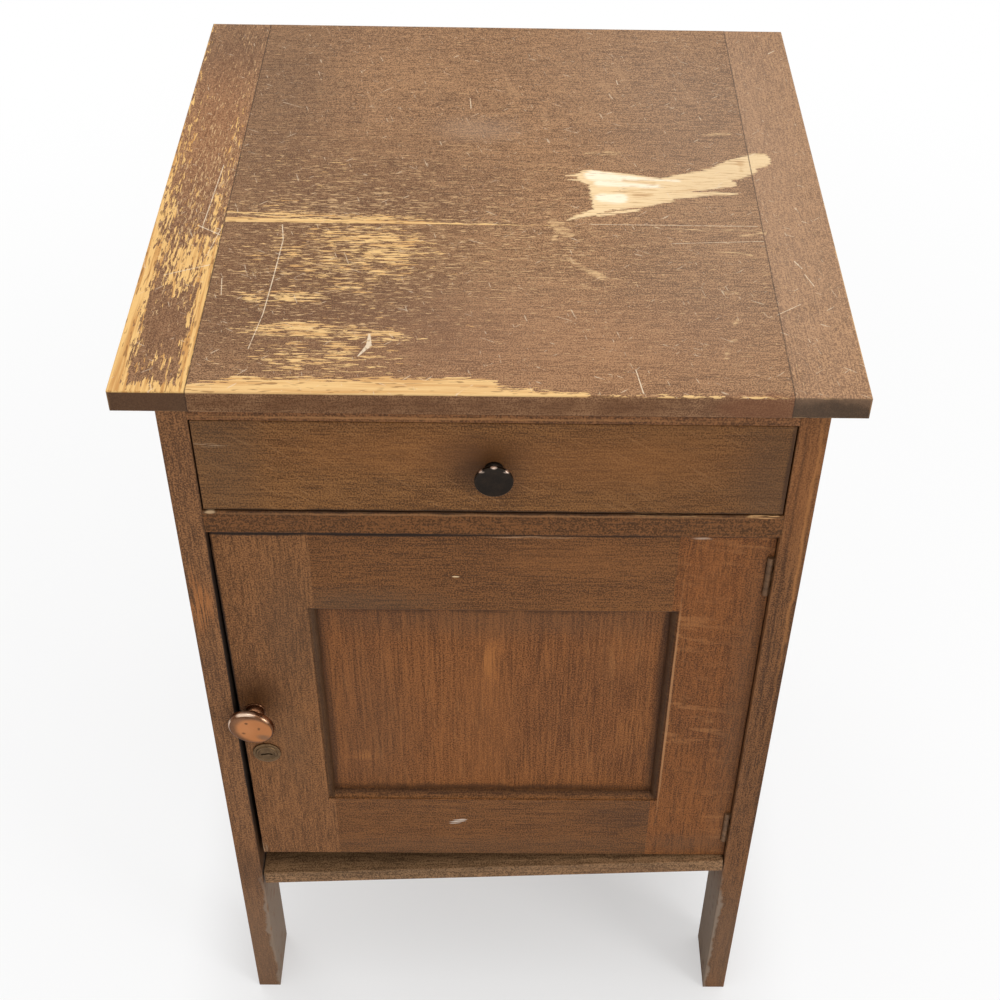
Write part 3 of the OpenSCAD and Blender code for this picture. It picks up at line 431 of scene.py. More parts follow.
topWearLook = {
    "fieldBare": (rgb(203, 155, 98), rgb(225, 185, 126)),  # dark and light lines of bare wood
    "endBare": (rgb(194, 142, 82), rgb(226, 182, 116)),
    "barePores": rgb(116, 76, 42),
    "scarTan": rgb(232, 202, 156),
    "scarWhite": rgb(246, 230, 202),
    "scarBrown": rgb(200, 160, 112),
    "scarDark": rgb(124, 88, 58),
    "scratchColor": rgb(226, 204, 174),
    "jointColor": rgb(58, 40, 28),
    "fineColor": rgb(214, 176, 128),
    "smudgeAndSheenColor": rgb(158, 140, 124),
    # places where flecks are thick: x, y, half width, half depth in mm, and thickness
    "fieldFlecks": (
        (-130, 10, 58, 34, 0.08), (-152, -34, 36, 12, 0.10), (-110, -44, 60, 7, 0.12),
        (-40, -46, 60, 5, 0.08), (-105, -84, 84, 34, 0.075), (-84, -66, 34, 13, 0.07),
        (-60, -86, 20, 20, 0.06), (-140, -137, 30, 8, 0.115), (-92, -128, 14, 6, 0.09),
        (-118, -172, 44, 8, 0.115), (-128, -168, 20, 6, 0.05), (-102, -202, 56, 20, 0.10),
        (-60, -178, 24, 7, 0.09), (-118, -140, 70, 80, 0.07), (-40, -130, 90, 90, 0.03),
    ),
    # places of fine short strokes
    "fieldFineFlecks": (
        (-112, 8, 96, 66, 0.064), (-125, -28, 66, 20, 0.036), (-70, -86, 130, 54, 0.055),
        (-120, -150, 84, 70, 0.06), (20, -60, 110, 80, 0.03), (120, -110, 100, 110, 0.02),
    ),
    "endFineFlecks": ((-196, 70, 24, 150, 0.065), (-206, -60, 28, 90, 0.06)),
    "endFlecks": (
        (-206, 40, 30, 90, 0.05), (-206, -60, 28, 50, 0.09), (-206, -110, 26, 38, 0.12),
        (-196, -120, 14, 40, 0.06), (-204, -208, 26, 36, 0.13), (-203, -172, 14, 16, -0.07),
        (-189, 30, 5, 120, 0.10), (-224, 20, 8, 110, 0.10), (-206, -232, 24, 8, 0.12),
        (207, 0, 30, 300, -0.10),
    ),
    # bare strips: x, y to x, y and the half width at each end, in mm
    "fieldStrips": (
        (-186, -236, -150, -236, 8, 15), (-150, -237, -8, -237, 17, 18),
        (-8, -238, 8, -237, 17, 9), (8, -236.5, 56, -235.5, 8, 4),
        (56, -235, 190, -235, 1.2, 0.5),
    ),
    "endStrips": (
        (-232, 60, -232, -90, 2.5, 8.5), (-232, -90, -232, -236, 12, 12),
        (-183, -58, -183, -104, 0.8, 7.5), (-183, -104, -183, -236, 7.5, 6.5),
        (-232, -239, -183, -239, 12, 12), (-231, 234, -231, 60, 1.0, 2.0),
    ),
    "seamStrips": (
        (-184, -49.3, -60, -50.3, 3.0, 2.0), (-60, -50.6, 6, -52.2, 1.7, 0.5),
        (-184, -40.5, -146, -41.5, 1.1, 0.5), (6, -52.2, 60, -52.4, 0.5, 0.2),
    ),
    "scar": (
        (68, 10, 118, 0, 9.5, 9.5), (118, 0, 160, 14, 9.5, 10.5), (160, 15, 176, 26, 10.5, 12.0),
        (176, 28, 190, 36, 10.0, 9.0), (78, -4, 76, -26, 12.0, 8.0), (72, -33, 50, -45, 4.5, 0.3),
        (84, -22, 118, -14, 10.0, 8.0), (118, -12, 170, -9, 6.0, 0.6),
        (72, -38, 100, -31, 2.0, 1.6), (92, -14, 112, -6, 10.0, 8.0), (110, -6, 166, 4, 7.0, 4.5),
        (50, 12, 66, 13, 0.2, 3.0), (52, 6, 66, 6, 0.1, 2.0),
    ),
    "scarWhiteAt": ((70, 12, 100, 8, 6.0, 3.0), (74, 2, 114, -1, 3.5, 1.8),
                    (76, -17, 86, -17, 5.5, 6.5), (100, 9, 130, 6, 1.6, 0.8)),
    "scarBrownAt": ((92, 6.5, 112, 3.5, 0.8, 1.0), (98, -13, 110, -11, 1.6, 1.2),
                    (128, -7, 150, -2, 0.2, 0.2), (176, 32, 176, 20, 1.6, 0.6),
                    (84, -8, 112, -6, 0.1, 0.1)),
    "scratches": (
        (-143.5, -55, -141, -73, 0.15, 0.15), (-141, -73, -142.8, -116, 0.15, 0.15),
        (-142.8, -116, -145, -156, 0.15, 0.1), (-145, -156, -150, -192, 0.1, 0.05),
        (-200, -57, -184, -68, 0.15, 0.2), (-214, -115, -186, -103, 0.1, 0.2),
        (-184, -60, -189, -90, 0.05, 0.05), (-193, 20, -197, -60, 0.1, 0.1),
        (88.3, -208.5, 91.7, -231, 0.1, 0.2), (181.7, -151, 198.3, -139, 0.05, 0.1),
        (200, -91, 204, -99, 0.2, 0.3), (205, -106, 209.5, -119, 0.1, 0.1),
        (215, 195.7, 220, 200.7, 0.2, 0.2), (120, -72, 182, -68, 0.05, 0.05),
        (-176, -118, -174, -136, 0.1, 0.05), (-20, 119, -19, 104, 0.1, 0.2),
        (92, 150, 93, 143, 0.1, 0.1), (66, -50, 180, -50, 0.05, 0.05),
        (-76.5, -176, -76, -187, 0.5, 1.6), (-76, -187, -82, -198, 1.6, 0.2),
    ),
    # pale rubbed marks, broken up by the grain
    "rubs": (
        (-88, -174, -76, -175, 0.2, 0.8), (66, 42, 86, 43, 0.8, 2.0), (76, 40, 90, 44, 0.5, 0.9),
        (152, 70, 171, 72, 1.0, 2.0), (150, -128, 158, -128, 0.8, 0.6),
        (156, -157, 153, -162, 0.9, 0.7), (152, -178, 149, -181, 1.2, 0.7),
        (147, -188, 145, -195, 1.0, 1.2), (40, -48, 50, -62, 3.0, 4.0),
        (46, -50, 40, -70, 2.0, 1.0), (48, -88, 60, -103, 0.8, 2.4),
        (60, -103, 72, -112, 2.4, 2.4), (-100, -60, -80, -64, 0.8, 0.5),
        (166, -62, 184, -58, 0.5, 0.8), (150, -80, 172, -84, 0.3, 0.6),
        (100, -54, 184, -55, 0.1, 0.1),
    ),
    "joints": ((-183, -236, -183, 236), (183, -236, 183, 236)),
    # smudges, and painted sheen over the right of the top: x, y, half width, half depth in mm, and
    # strength
    "smudgesAndSheen": ((-12, 74, 26, 14, 0.20), (150, 160, 90, 110, 0.16), (170, -60, 70, 150, 0.16),
                (20, -170, 110, 50, 0.08)),
}


# A grain is the cycles per metre across and along it; a cut is the pair of noise values, or of mm
# from the middle line of a stroke, between which a thing starts and is full
topWearNature = {
    "under": (1.6, 0.7),  # mm under the top's face, where the wear ends
    "fleckGrain": (600, 85),
    "patchyGrain": (110, 70),
    "patchyShare": 0.2,
    "fleckCut": (0.694, 0.706),
    "fineGrain": (1100, 150),
    "fineCut": (0.665, 0.70, 0.0, 0.7),
    "zoneEdge": 0.55,
    "fineZoneEdge": 0.8,
    "fieldRagged": 30,  # how far noise moves the edge of a bare strip, in mm
    "endRagged": 34,
    "stripCut": (0.4, -0.1),
    "seamRagged": 0.35,
    "seamCut": (0.3, -0.1),
    "lineGrain": (600, 18),
    "lineCut": (0.34, 0.58),
    "poreGrain": (620, 90),
    "poreCut": (0.62, 0.68, 0.0, 0.6),
    "fibreGrain": (620, 45),
    "wobble": 13,
    "brownWobble": 1.6,
    "scarCut": (0.4, -0.2),
    "whiteCut": (1.8, -1.8),
    "brownCut": (1.6, -1.2),
    "brownGain": 0.75,
    "tanCut": (0.50, 0.62, 0.0, 0.55),
    "darkCut": (0.60, 0.68, 0.0, 0.6),
    "scratchCut": (0.34, 0.0),
    "scratchBreaks": 420,
    "scratchBreaksCut": (0.34, 0.5, 0.35, 0.9),
    "rubRagged": 0.3,
    "rubCut": (1.2, -1.0),
    "rubFleckCut": (0.46, 0.60, 0.12, 0.78),
    "specks": 420,
    "speckCut": (0.70, 0.73),
    "hairTurns": (0.5, 1.3, 2.4),
    "hairGrain": (70, 620, 0),
    "hairCut": (0.72, 0.745),
    "hairGain": 0.5,
    "jointWidth": 0.1,
    "jointCut": (0.55, 0.15),
    "jointBreaksCut": (0.3, 0.5, 0.2, 0.75),
    "smudgeAndSheenEdge": 0.9,
}


def zones(tree, coords, places, edge):
    # a mask and a strength for each place (x, y, half width, half depth, strength), in mm
    for x, y, wide, deep, gain in places:
        yield blob(tree, coords, (x * mm, y * mm, 0), (wide * mm, deep * mm, None), edge), gain


def edged(tree, distance, cut, ragged=None, share=1.0, toHigh=1.0):
    # fills a stroke from its distance in metres, with an edge that noise makes ragged
    if ragged:
        distance = calc(tree, "SUBTRACT", distance,
                        ragged if share == 1.0 else calc(tree, "MULTIPLY", ragged, share))
    return fade(tree, distance, cut[0] * mm, cut[1] * mm, 0.0, toHigh)


def topWear(tree, point, color, along, seed):
    look = {**topWearLook, **topWearNature}
    kind = "end" if along == axisY else "field"
    inPlane = vectorCalc(tree, "MULTIPLY", point, (1, 1, 0))
    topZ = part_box("top_end_left")[1].z
    height = addNode(tree, "SeparateXYZ", {0: point}).outputs[2]
    upward = fade(tree, height, *(topZ - under * mm for under in look["under"]))

    # flecks run with the grain and open where the finish has worn thin
    def grained(key, extra, detail, rough=0.5):
        return noise(tree, alongGrain(tree, point, along, *look[key], seed + extra), detail, rough)

    fleck = grained("fleckGrain", 0.9, 4.0, 0.68)
    patchy = grained("patchyGrain", 0.4, 2.0)
    thick = 0.0
    for zone, gain in zones(tree, inPlane, look[kind + "Flecks"], look["zoneEdge"]):
        thick = calc(tree, "MULTIPLY_ADD", zone, gain, thick)
    field = calc(tree, "ADD", calc(tree, "MULTIPLY", fleck, 1.0 - look["patchyShare"]),
                 calc(tree, "MULTIPLY", patchy, look["patchyShare"]))
    flecked = fade(tree, calc(tree, "ADD", field, thick), *look["fleckCut"])
    fine = grained("fineGrain", 0.6, 3.0, 0.6)
    for zone, gain in zones(tree, inPlane, look[kind + "FineFlecks"], look["fineZoneEdge"]):
        fine = calc(tree, "MULTIPLY_ADD", zone, gain, fine)
    fine = calc(tree, "MULTIPLY", fade(tree, fine, *look["fineCut"]), upward)
    color = mixColor(tree, fine, color, look["fineColor"])

    # bare strips along the front, the left edge and the seam
    ragged = calc(tree, "MULTIPLY", calc(tree, "SUBTRACT", field, 0.5), look[kind + "Ragged"] * mm)
    strip = edged(tree, strokes(tree, inPlane, look[kind + "Strips"]), look["stripCut"], ragged)
    bare = calc(tree, "MAXIMUM", flecked, strip)
    if seed == topBoards["top_board_middle"]:
        seam = edged(tree, strokes(tree, inPlane, look["seamStrips"]), look["seamCut"], ragged,
                     look["seamRagged"])
        bare = calc(tree, "MAXIMUM", bare, seam)
    bare = calc(tree, "MULTIPLY", bare, upward)
    bareColor = mixColor(tree, fade(tree, grained("lineGrain", 0.2, 3.0), *look["lineCut"]),
                         *look[kind + "Bare"])
    barePores = fade(tree, grained("poreGrain", 0.7, 1.0), *look["poreCut"])
    bareColor = mixColor(tree, barePores, bareColor, look["barePores"])
    color = mixColor(tree, bare, color, bareColor)

    if kind == "field" or seed == topEnds["top_end_right"]:
        color, scar = scarOver(tree, look, point, inPlane, upward, color)
        bare = calc(tree, "MAXIMUM", bare, scar)
    color, broken = scratchesOver(tree, look, point, inPlane, upward, ragged, fleck, color)

    # the joints of the end boards, and smudges, with painted sheen over the right of the top
    joint = strokes(tree, inPlane, [(*line, look["jointWidth"], look["jointWidth"])
                                    for line in look["joints"]])
    joint = calc(tree, "MULTIPLY", edged(tree, joint, look["jointCut"]),
                 fade(tree, broken, *look["jointBreaksCut"]))
    color = mixColor(tree, joint, color, look["jointColor"])
    for mask, gain in zones(tree, inPlane, look["smudgesAndSheen"], look["smudgeAndSheenEdge"]):
        color = mixColor(tree, calc(tree, "MULTIPLY", mask, gain), color, look["smudgeAndSheenColor"])
    return color, bare


def scarOver(tree, look, point, inPlane, upward, color):
    # bruised pale wood with fibres of its own, the same on every board that it crosses
    fibre = noise(tree, alongGrain(tree, point, axisX, *look["fibreGrain"], 0.77), 4.0, 0.66)
    wobble = calc(tree, "MULTIPLY", calc(tree, "SUBTRACT", fibre, 0.5), look["wobble"] * mm)
    scar = edged(tree, strokes(tree, inPlane, look["scar"]), look["scarCut"], wobble)
    scar = calc(tree, "MULTIPLY", scar, upward)
    white = edged(tree, strokes(tree, inPlane, look["scarWhiteAt"]), look["whiteCut"], wobble)
    brown = edged(tree, strokes(tree, inPlane, look["scarBrownAt"]), look["brownCut"], wobble,
                  look["brownWobble"], look["brownGain"])
    scarColor = mixColor(tree, fade(tree, fibre, *look["tanCut"]), look["scarTan"],
                         look["scarBrown"])
    scarColor = mixColor(tree, white, scarColor, look["scarWhite"])
    scarColor = mixColor(tree, brown, scarColor, look["scarBrown"])
    scarColor = mixColor(tree, fade(tree, fibre, *look["darkCut"]), scarColor, look["scarDark"])
    return mixColor(tree, scar, color, scarColor), scar


def scratchesOver(tree, look, point, inPlane, upward, ragged, fleck, color):
    # single scratches, rubbed marks, specks and hairs
    scratch = edged(tree, strokes(tree, inPlane, look["scratches"]), look["scratchCut"])
    broken = noise(tree, mapped(tree, point, (look["scratchBreaks"],) * 3, 0.6), 2.0)
    scratch = calc(tree, "MULTIPLY", scratch, fade(tree, broken, *look["scratchBreaksCut"]))
    rub = edged(tree, strokes(tree, inPlane, look["rubs"]), look["rubCut"], ragged,
                look["rubRagged"])
    rub = calc(tree, "MULTIPLY", rub, fade(tree, fleck, *look["rubFleckCut"]))
    here = mapped(tree, inPlane, (look["specks"], look["specks"], 0), 0.9)
    hairs = [fade(tree, noise(tree, here, 3.0, 0.65), *look["speckCut"])]
    for index, turn in enumerate(look["hairTurns"]):
        here = mapped(tree, inPlane, look["hairGrain"], 0.3 + index, (0, 0, turn))
        hairs.append(fade(tree, noise(tree, here, 2.0), *look["hairCut"]))
    color = mixColor(tree, calc(tree, "MULTIPLY", rub, upward), color, look["fineColor"])
    light = calc(tree, "MAXIMUM", scratch,
                 calc(tree, "MULTIPLY", greatestOf(tree, hairs), look["hairGain"]))
    color = mixColor(tree, calc(tree, "MULTIPLY", light, upward), color, look["scratchColor"])
    return color, broken


topBoards = {"top_board_front": 2.0, "top_board_middle": 5.0, "top_board_back": 8.0}
topEnds = {"top_end_left": 11.0, "top_end_right": 14.0}
topTones = {"dark": rgb(101, 70, 46), "light": rgb(170, 129, 92), "streak": (1000, 70, 1.05),
            "sand": ((1200, 1000, 1000), 1.5), "pore": (1100, 60, 0.38)}
topRays = ({"scale": (150, 14, 0), "turn": (0, 0, -0.25), "cut": 0.58, "gain": 0.35,
            "color": rgb(176, 136, 98)},)
finishes = {}
topMarks = [
    spot((-165, 130, 0), (40, 120, None), 0.35, rgb(84, 62, 44)),
    spot((-115, -115, 0), (90, 100, None), 0.62, rgb(82, 50, 28)),
    spot((-110, 10, 0), (90, 60, None), 0.3, rgb(92, 62, 40)),
    spot((40, -190, 0), (120, 50, None), 0.2, rgb(146, 92, 54)),
    spot((0, -236, 691), (400, 2.6, 12), 0.8, rgb(92, 56, 29), soft=0.4, shake=2),
    spot((170, -234, 691), (34, 6, 12), 0.5, rgb(112, 62, 32), soft=0.3)]
for node, seed in topBoards.items():
    finishes[node] = oak(node + "_oak", grain=axisX, seed=seed, wear=topWear, ends=0.0,
                         rays=topRays if node == "top_board_back" else (),
                         edges=(0.4, rgb(172, 130, 88)), marks=topMarks, **topTones)
endMarks = [
    spot((-207, 190, 0), (26, 50, None), 0.4, rgb(84, 62, 44)),
    spot((-207, 70, 0), (30, 110, None), 0.35, rgb(138, 84, 46)),
    spot((-207, -140, 0), (40, 120, None), 0.45, rgb(100, 61, 34)),
    # painted sheen, lighter over the right end board
    spot((207, 0, 700), (60, 320, 4), 0.29, rgb(186, 146, 114)),
    spot((207, -235, 690), (60, 2, 12), 0.5, rgb(56, 40, 27)),
    spot((231, -110, 700), (1.5, 160, 1.6), 0.85, rgb(226, 180, 112), soft=0.4, shake=2)]
for node, seed in topEnds.items():
    finishes[node] = oak(node + "_oak", grain=axisY, seed=seed, wear=topWear, ends=0.88,
                         dirt=rgb(68, 50, 35), edges=(0.4, rgb(190, 148, 98)), marks=endMarks,
                         **topTones)
print("top finishes made")

# Finishes of the front, the sides, the back and the inside

greyBrown = rgb(88, 68, 50)
deepBrown = rgb(58, 37, 22)
warmBrown = rgb(158, 100, 52)
chip = rgb(206, 160, 108)
# colours of the painted shade in the gaps between the drawer, the door and the rails
seamShade = rgb(34, 22, 14)
gapShade = rgb(28, 18, 12)
dustGrey = rgb(138, 122, 106)
spilledPaint = rgb(216, 200, 184)
doorReach = (-214, 5)
panelReach = (-207, 5)

finishes["drawer_front"] = oak(
    "drawer_front_oak", grain=axisX, seed=21.0, dark=rgb(86, 53, 24), light=rgb(141, 96, 53),
    rays=({"scale": (40, 0, 520), "turn": (0, -0.62, 0), "cut": 0.57, "gain": 0.34,
           "color": rgb(172, 126, 82)},),
    edges=(0.3, rgb(156, 112, 74)), marks=[
        mark(-172, 640, 22, 60, 0.35, greyBrown),
        mark(180, 618, 22, 50, 0.5, rgb(82, 60, 42)),
        # darker patches above and below the drawer knob: partly grime, partly a painted shadow of
        # the knob
        mark(-6, 633, 24, 16, 0.85, deepBrown, soft=0.9),
        mark(2, 612, 16, 8, 0.5, deepBrown),
        mark(118, 625, 70, 60, 0.25, rgb(92, 58, 31)),
        mark(-60, 640, 60, 18, 0.22, warmBrown),
        mark(70, 632, 70, 20, 0.22, warmBrown),
        # painted shade in the gap between the drawer and the rail under it
        mark(2, 588, 230, 2.0, 0.85, seamShade, soft=0.5, shake=3),
        mark(-178, 644, 9, 1.2, 0.6, rgb(186, 156, 124), shake=4, torn=0.12),
        # painted shade in the gaps at the drawer front's ends
        mark(-189, 628, 1.6, 50, 0.8, deepBrown, shake=2),
        mark(190, 628, 1.6, 50, 0.8, deepBrown, shake=2)])
finishes["top_front_rail"] = oak(
    "top_rail_oak", grain=axisX, seed=24.0, dark=rgb(90, 57, 33), light=rgb(142, 95, 58), marks=[
        mark(-40, 668, 150, 0.8, 0.6, rgb(176, 126, 78), shake=2),
        mark(80, 672, 120, 0.6, 0.6, rgb(60, 38, 22), shake=2)])
finishes["drawer_rail"] = oak(
    "drawer_rail_oak", grain=axisX, seed=27.0, dark=rgb(76, 47, 21), light=rgb(124, 79, 42),
    edges=(0.45, rgb(158, 114, 74)), marks=[
        # painted shade in the gap between the drawer and this rail
        mark(0, 588.5, 230, 2.0, 0.8, seamShade, soft=0.5, shake=3),
        mark(178, 586.5, 10, 1.3, 0.95, chip, soft=0.2, shake=5, torn=0.12),
        mark(120, 587, 26, 0.7, 0.45, chip, soft=0.3, shake=3, torn=0.06),
        mark(-183, 586.4, 3, 1.3, 0.85, rgb(196, 164, 126), soft=0.4, shake=2),
        # painted shade along the rail's lower edge, over the door's top
        mark(-90, 567.5, 110, 1.3, 0.8, rgb(40, 26, 17), soft=0.5, shake=2),
        mark(0, 585.5, 190, 0.9, 0.45, rgb(158, 114, 74), soft=0.5, shake=2)])
finishes["front_post_left"] = oak(
    "left_post_oak", grain=axisZ, seed=31.0, dark=rgb(92, 60, 36), light=rgb(150, 103, 64),
    ends=0.7, marks=[
        mark(-200, 500, 8, 28, 0.6, rgb(178, 112, 60), torn=0.14),
        mark(-198, 60, None, 90, 0.5, rgb(118, 94, 74)),
        mark(-198, 180, 14, 30, 0.35, deepBrown),
        mark(-207, 400, 2, 180, 0.25, deepBrown),
        # painted shade in the gap between the post and the door
        mark(-187.8, 400, 1.3, 220, 0.97, rgb(14, 9, 6), soft=0.4, shake=1),
        mark(-188, 70, 2.5, 90, 0.75, dustGrey, soft=0.4)])
finishes["front_post_right"] = oak(
    "right_post_oak", grain=axisZ, seed=34.0, dark=rgb(75, 46, 24), light=rgb(131, 87, 51),
    band=(170, 4, 1.0), ends=0.7, marks=[
        mark(201, 620, 12, 60, 0.3, rgb(156, 96, 48)),
        mark(201, 60, None, 90, 0.45, rgb(118, 92, 70)),
        mark(210, 400, 2, 200, 0.35, deepBrown),
        mark(207, 560, 1.1, 130, 0.45, rgb(184, 124, 70), shake=4),
        mark(197.5, 520, 0.9, 160, 0.45, deepBrown, shake=4),
        mark(192, 70, 2.5, 100, 0.75, dustGrey, soft=0.4)])
# the stiles' dark for pores and end grain, and for the painted shade in their mouldings
stileDirtAndShade = rgb(50, 31, 13)
finishes["lock_stile"] = oak(
    "lock_stile_oak", grain=axisZ, seed=41.0, marks=[
        mark(-171, 400, 16, 20, 0.8, rgb(68, 40, 18), soft=0.9),
        mark(-173, 352, 9, 14, 0.45, deepBrown),
        mark(-140, 470, 20, 60, 0.25, greyBrown),
        mark(-150, 340, 14, 40, 0.25, greyBrown),
        # painted shadow along the door's top edge, under the rail
        mark(-155, 562.8, 44, 2.0, 0.95, gapShade, soft=0.4, shake=1.5),
        # painted shade in the gap between the door and the post
        spot((-186.8, -213, 385), (1.6, 4, 190), 0.92, rgb(24, 16, 11), soft=0.4, shake=1),
        # faint painted highlight on the moulding's edge
        mark(-128.4, 381, 0.7, 100, 0.2, rgb(170, 120, 78), soft=0.4, shake=1),
        mark(-186, 205, 4, 6, 0.7, rgb(186, 156, 122), shake=4, torn=0.12)],
    # painted shade in the moulding along the stile's inner edge
    recess=(axisY, -213.8, -212.4, 0.82, (axisX, -131, -128.5)), dirt=stileDirtAndShade, reach=doorReach,
    dark=rgb(92, 58, 31), light=rgb(150, 101, 60))
finishes["hinge_stile"] = oak(
    "hinge_stile_oak", grain=axisZ, seed=44.0,
    # painted shade in the moulding along the stile's inner edge
    recess=(axisY, -213.8, -212.4, 0.82, (axisX, 135, 132.5)), dirt=stileDirtAndShade, reach=doorReach,
    rays=({"scale": (42, 0, 210), "turn": (0, -0.16, 0), "cut": 0.535, "gain": 0.42,
           "color": rgb(168, 114, 68)},),
    marks=[
        # painted highlight on the moulding's outer step
        mark(132.3, 381, 0.9, 112, 0.6, rgb(184, 134, 90), soft=0.4, shake=1),
        mark(186, 400, 12, 150, 0.3, greyBrown),
        mark(150, 520, 18, 40, 0.2, rgb(156, 92, 44)),
        mark(141, 561.4, 5, 0.9, 0.75, rgb(190, 164, 142), soft=0.8, shake=4),
        # painted shadow along the door's top edge, under the rail
        mark(158, 563.6, 40, 0.9, 0.8, deepBrown, shake=1),
        mark(158, 214, 30, 12, 0.35, greyBrown)],
    dark=rgb(86, 49, 22), light=rgb(142, 87, 43))
railMarks = [
    mark(-24, 244.6, 5, 0.7, 0.9, spilledPaint, soft=0.3, shake=4),
    mark(-26, 242.4, 5.5, 0.8, 0.9, spilledPaint, soft=0.3, shake=5),
    mark(-28, 240, 4, 0.6, 0.8, rgb(206, 190, 174), soft=0.3, shake=4),
    mark(-24, 523, 2.4, 0.6, 0.95, rgb(230, 200, 156), soft=0.3, shake=1),
    # painted shadow along the door's top edge, under the rail, in the next two marks
    mark(-80, 562.8, 80, 1.8, 0.95, gapShade, soft=0.5, shake=1.5),
    mark(60, 563, 90, 1.0, 0.85, seamShade, soft=0.6, shake=1),
    mark(28, 561, 22, 0.7, 0.8, rgb(184, 146, 112), shake=2, torn=0.12),
    mark(60, 540, 60, 16, 0.2, rgb(150, 96, 50)),
    mark(-90, 496, 50, 12, 0.4, greyBrown),
    mark(0, 208, 140, 12, 0.25, greyBrown),
    mark(110, 250, 40, 20, 0.25, deepBrown)]
for rail, seed in (("door_top_rail", 47.0), ("door_bottom_rail", 50.0)):
    finishes[rail] = oak(rail + "_oak", grain=axisX, seed=seed, marks=railMarks, reach=doorReach,
                         dark=rgb(79, 48, 23), light=rgb(134, 87, 47), edges=(0.0, chip),
                         # painted shade, darker deeper in on the rail's moulding
                         recess=(axisY, -213.4, -209.5, 0.55, None))
finishes["door_panel"] = oak(
    "door_panel_oak", grain=axisZ, seed=53.0, reach=panelReach, dark=rgb(88, 50, 22),
    light=rgb(147, 92, 48), dirt=rgb(58, 34, 15), band=(60, 3, 0.18), streak=(640, 22, 0.95),
    wave=(3, 1.2), pore=(640, 32, 0.26),
    rays=({"scale": (200, 0, 26), "turn": (0, 0.1, 0), "cut": 0.60, "gain": 0.22,
           "color": rgb(172, 118, 70)},),
    marks=[
        mark(-3, 428, 8, 22, 0.45, rgb(184, 118, 60), torn=0.16),
        mark(-2, 380, 18, 90, 0.18, rgb(166, 104, 54)),
        mark(-90, 350, 30, 90, 0.2, rgb(100, 74, 52)),
        mark(10, 474, 130, 16, 0.3, greyBrown),
        # painted shade along the panel's top and side edges, in the next three marks
        mark(2, 485, 140, 4, 0.7, deepBrown),
        mark(-123, 381, 5, 170, 0.7, deepBrown, shake=3),
        mark(127, 381, 5, 170, 0.7, deepBrown, shake=3),
        mark(110, 350, 12, 20, 0.25, rgb(172, 112, 60), torn=0.14),
        mark(92, 440, 20, 30, 0.15, rgb(164, 106, 58)),
        mark(-96, 318, 10, 4, 0.4, rgb(172, 114, 62), torn=0.14),
        # painted shade along the panel's bottom edge
        mark(0, 278, 140, 4, 0.75, deepBrown)])
finishes["bottom_board"] = oak(
    "bottom_board_oak", grain=axisX, seed=57.0, dark=rgb(94, 68, 44), light=rgb(158, 120, 84),
    streak=(500, 30, 1.1), edges=(0.5, rgb(158, 126, 94)), marks=[
        spot((-120, -190, 184), (120, 60, 12), 0.4, rgb(54, 42, 24)),
        spot((60, -200, 192), (140, 40, 10), 0.2, rgb(74, 54, 34)),
        spot((120, -219, 180), (50, 3, 8), 0.3, rgb(126, 88, 58))])
sideTones = {"dark": rgb(82, 53, 31), "light": rgb(138, 94, 58)}
for index, side in enumerate(("left", "right")):
    finishes["back_post_" + side] = oak("back_post_oak_" + side, grain=axisZ, seed=61.0 + index,
                                        ends=0.7, **sideTones)
    for rail in ("side_top_rail_", "side_bottom_rail_"):
        finishes[rail + side] = oak(rail + side + "_oak", grain=axisY,
                                    seed=64.0 + index + len(rail) / 10, **sideTones)
    finishes["side_panel_" + side] = oak(
        "side_panel_oak_" + side, grain=axisZ, seed=68.0 + index, band=(70, 2.5, 0.6),
        streak=(760, 34, 1.0), wave=(3, 2.0),
        rays=({"scale": (0, 200, 30), "turn": (0.1, 0, 0), "cut": 0.60, "gain": 0.28,
               "color": rgb(164, 116, 72)},), **sideTones)
for index, name in enumerate(("left", "middle", "right")):
    finishes["back_board_" + name] = oak(
        "back_board_oak_" + name, grain=axisZ, seed=72.0 + index, dark=rgb(88, 62, 41),
        light=rgb(144, 108, 74), band=(60, 2.0, 0.65), streak=(620, 26, 0.9), wave=(3, 2.0),
        rough=(0.68, 0.15), edges=(0.5, rgb(150, 120, 88)))
finishes["back_rails"] = oak("back_rail_oak", grain=axisX, seed=77.0, rough=(0.66, 0.15),
                             dark=rgb(96, 72, 52), light=rgb(148, 116, 84))
rawTones = {"dark": rgb(140, 106, 70), "light": rgb(196, 160, 114), "rough": (0.66, 0.14),
            "edges": (0.3, rgb(206, 176, 132)), "dirt": rgb(112, 86, 58), "ends": 0.35}
for way, grain, seed in (("across", axisX, 81.0), ("deep", axisY, 84.0), ("upright", axisZ, 87.0)):
    finishes["raw_" + way] = oak("raw_oak_" + way, grain=grain, seed=seed, **rawTones)
print("wood finishes made")

# Metal

metalLook = {
    "color": rgb(120, 96, 62),
    "patina": rgb(52, 42, 32),
    "bright": rgb(200, 170, 120),
    "patinaAmount": 0.6,
    "patinaCut": (0.34, 0.62),
    "scale": 160,  # cycles per metre
    "finer": 8,
    "brightCut": (0.35, 0.72, 0.0, 0.5),
    "rough": 0.38,
    "roughSpan": 0.3,
    "metallic": 1.0,
    "bump": 0.2,
    "bumpDistance": 0.0002,
    "marks": (),
    "looseness": 260,
    "shake": 2,
    "soft": 0.6,
}


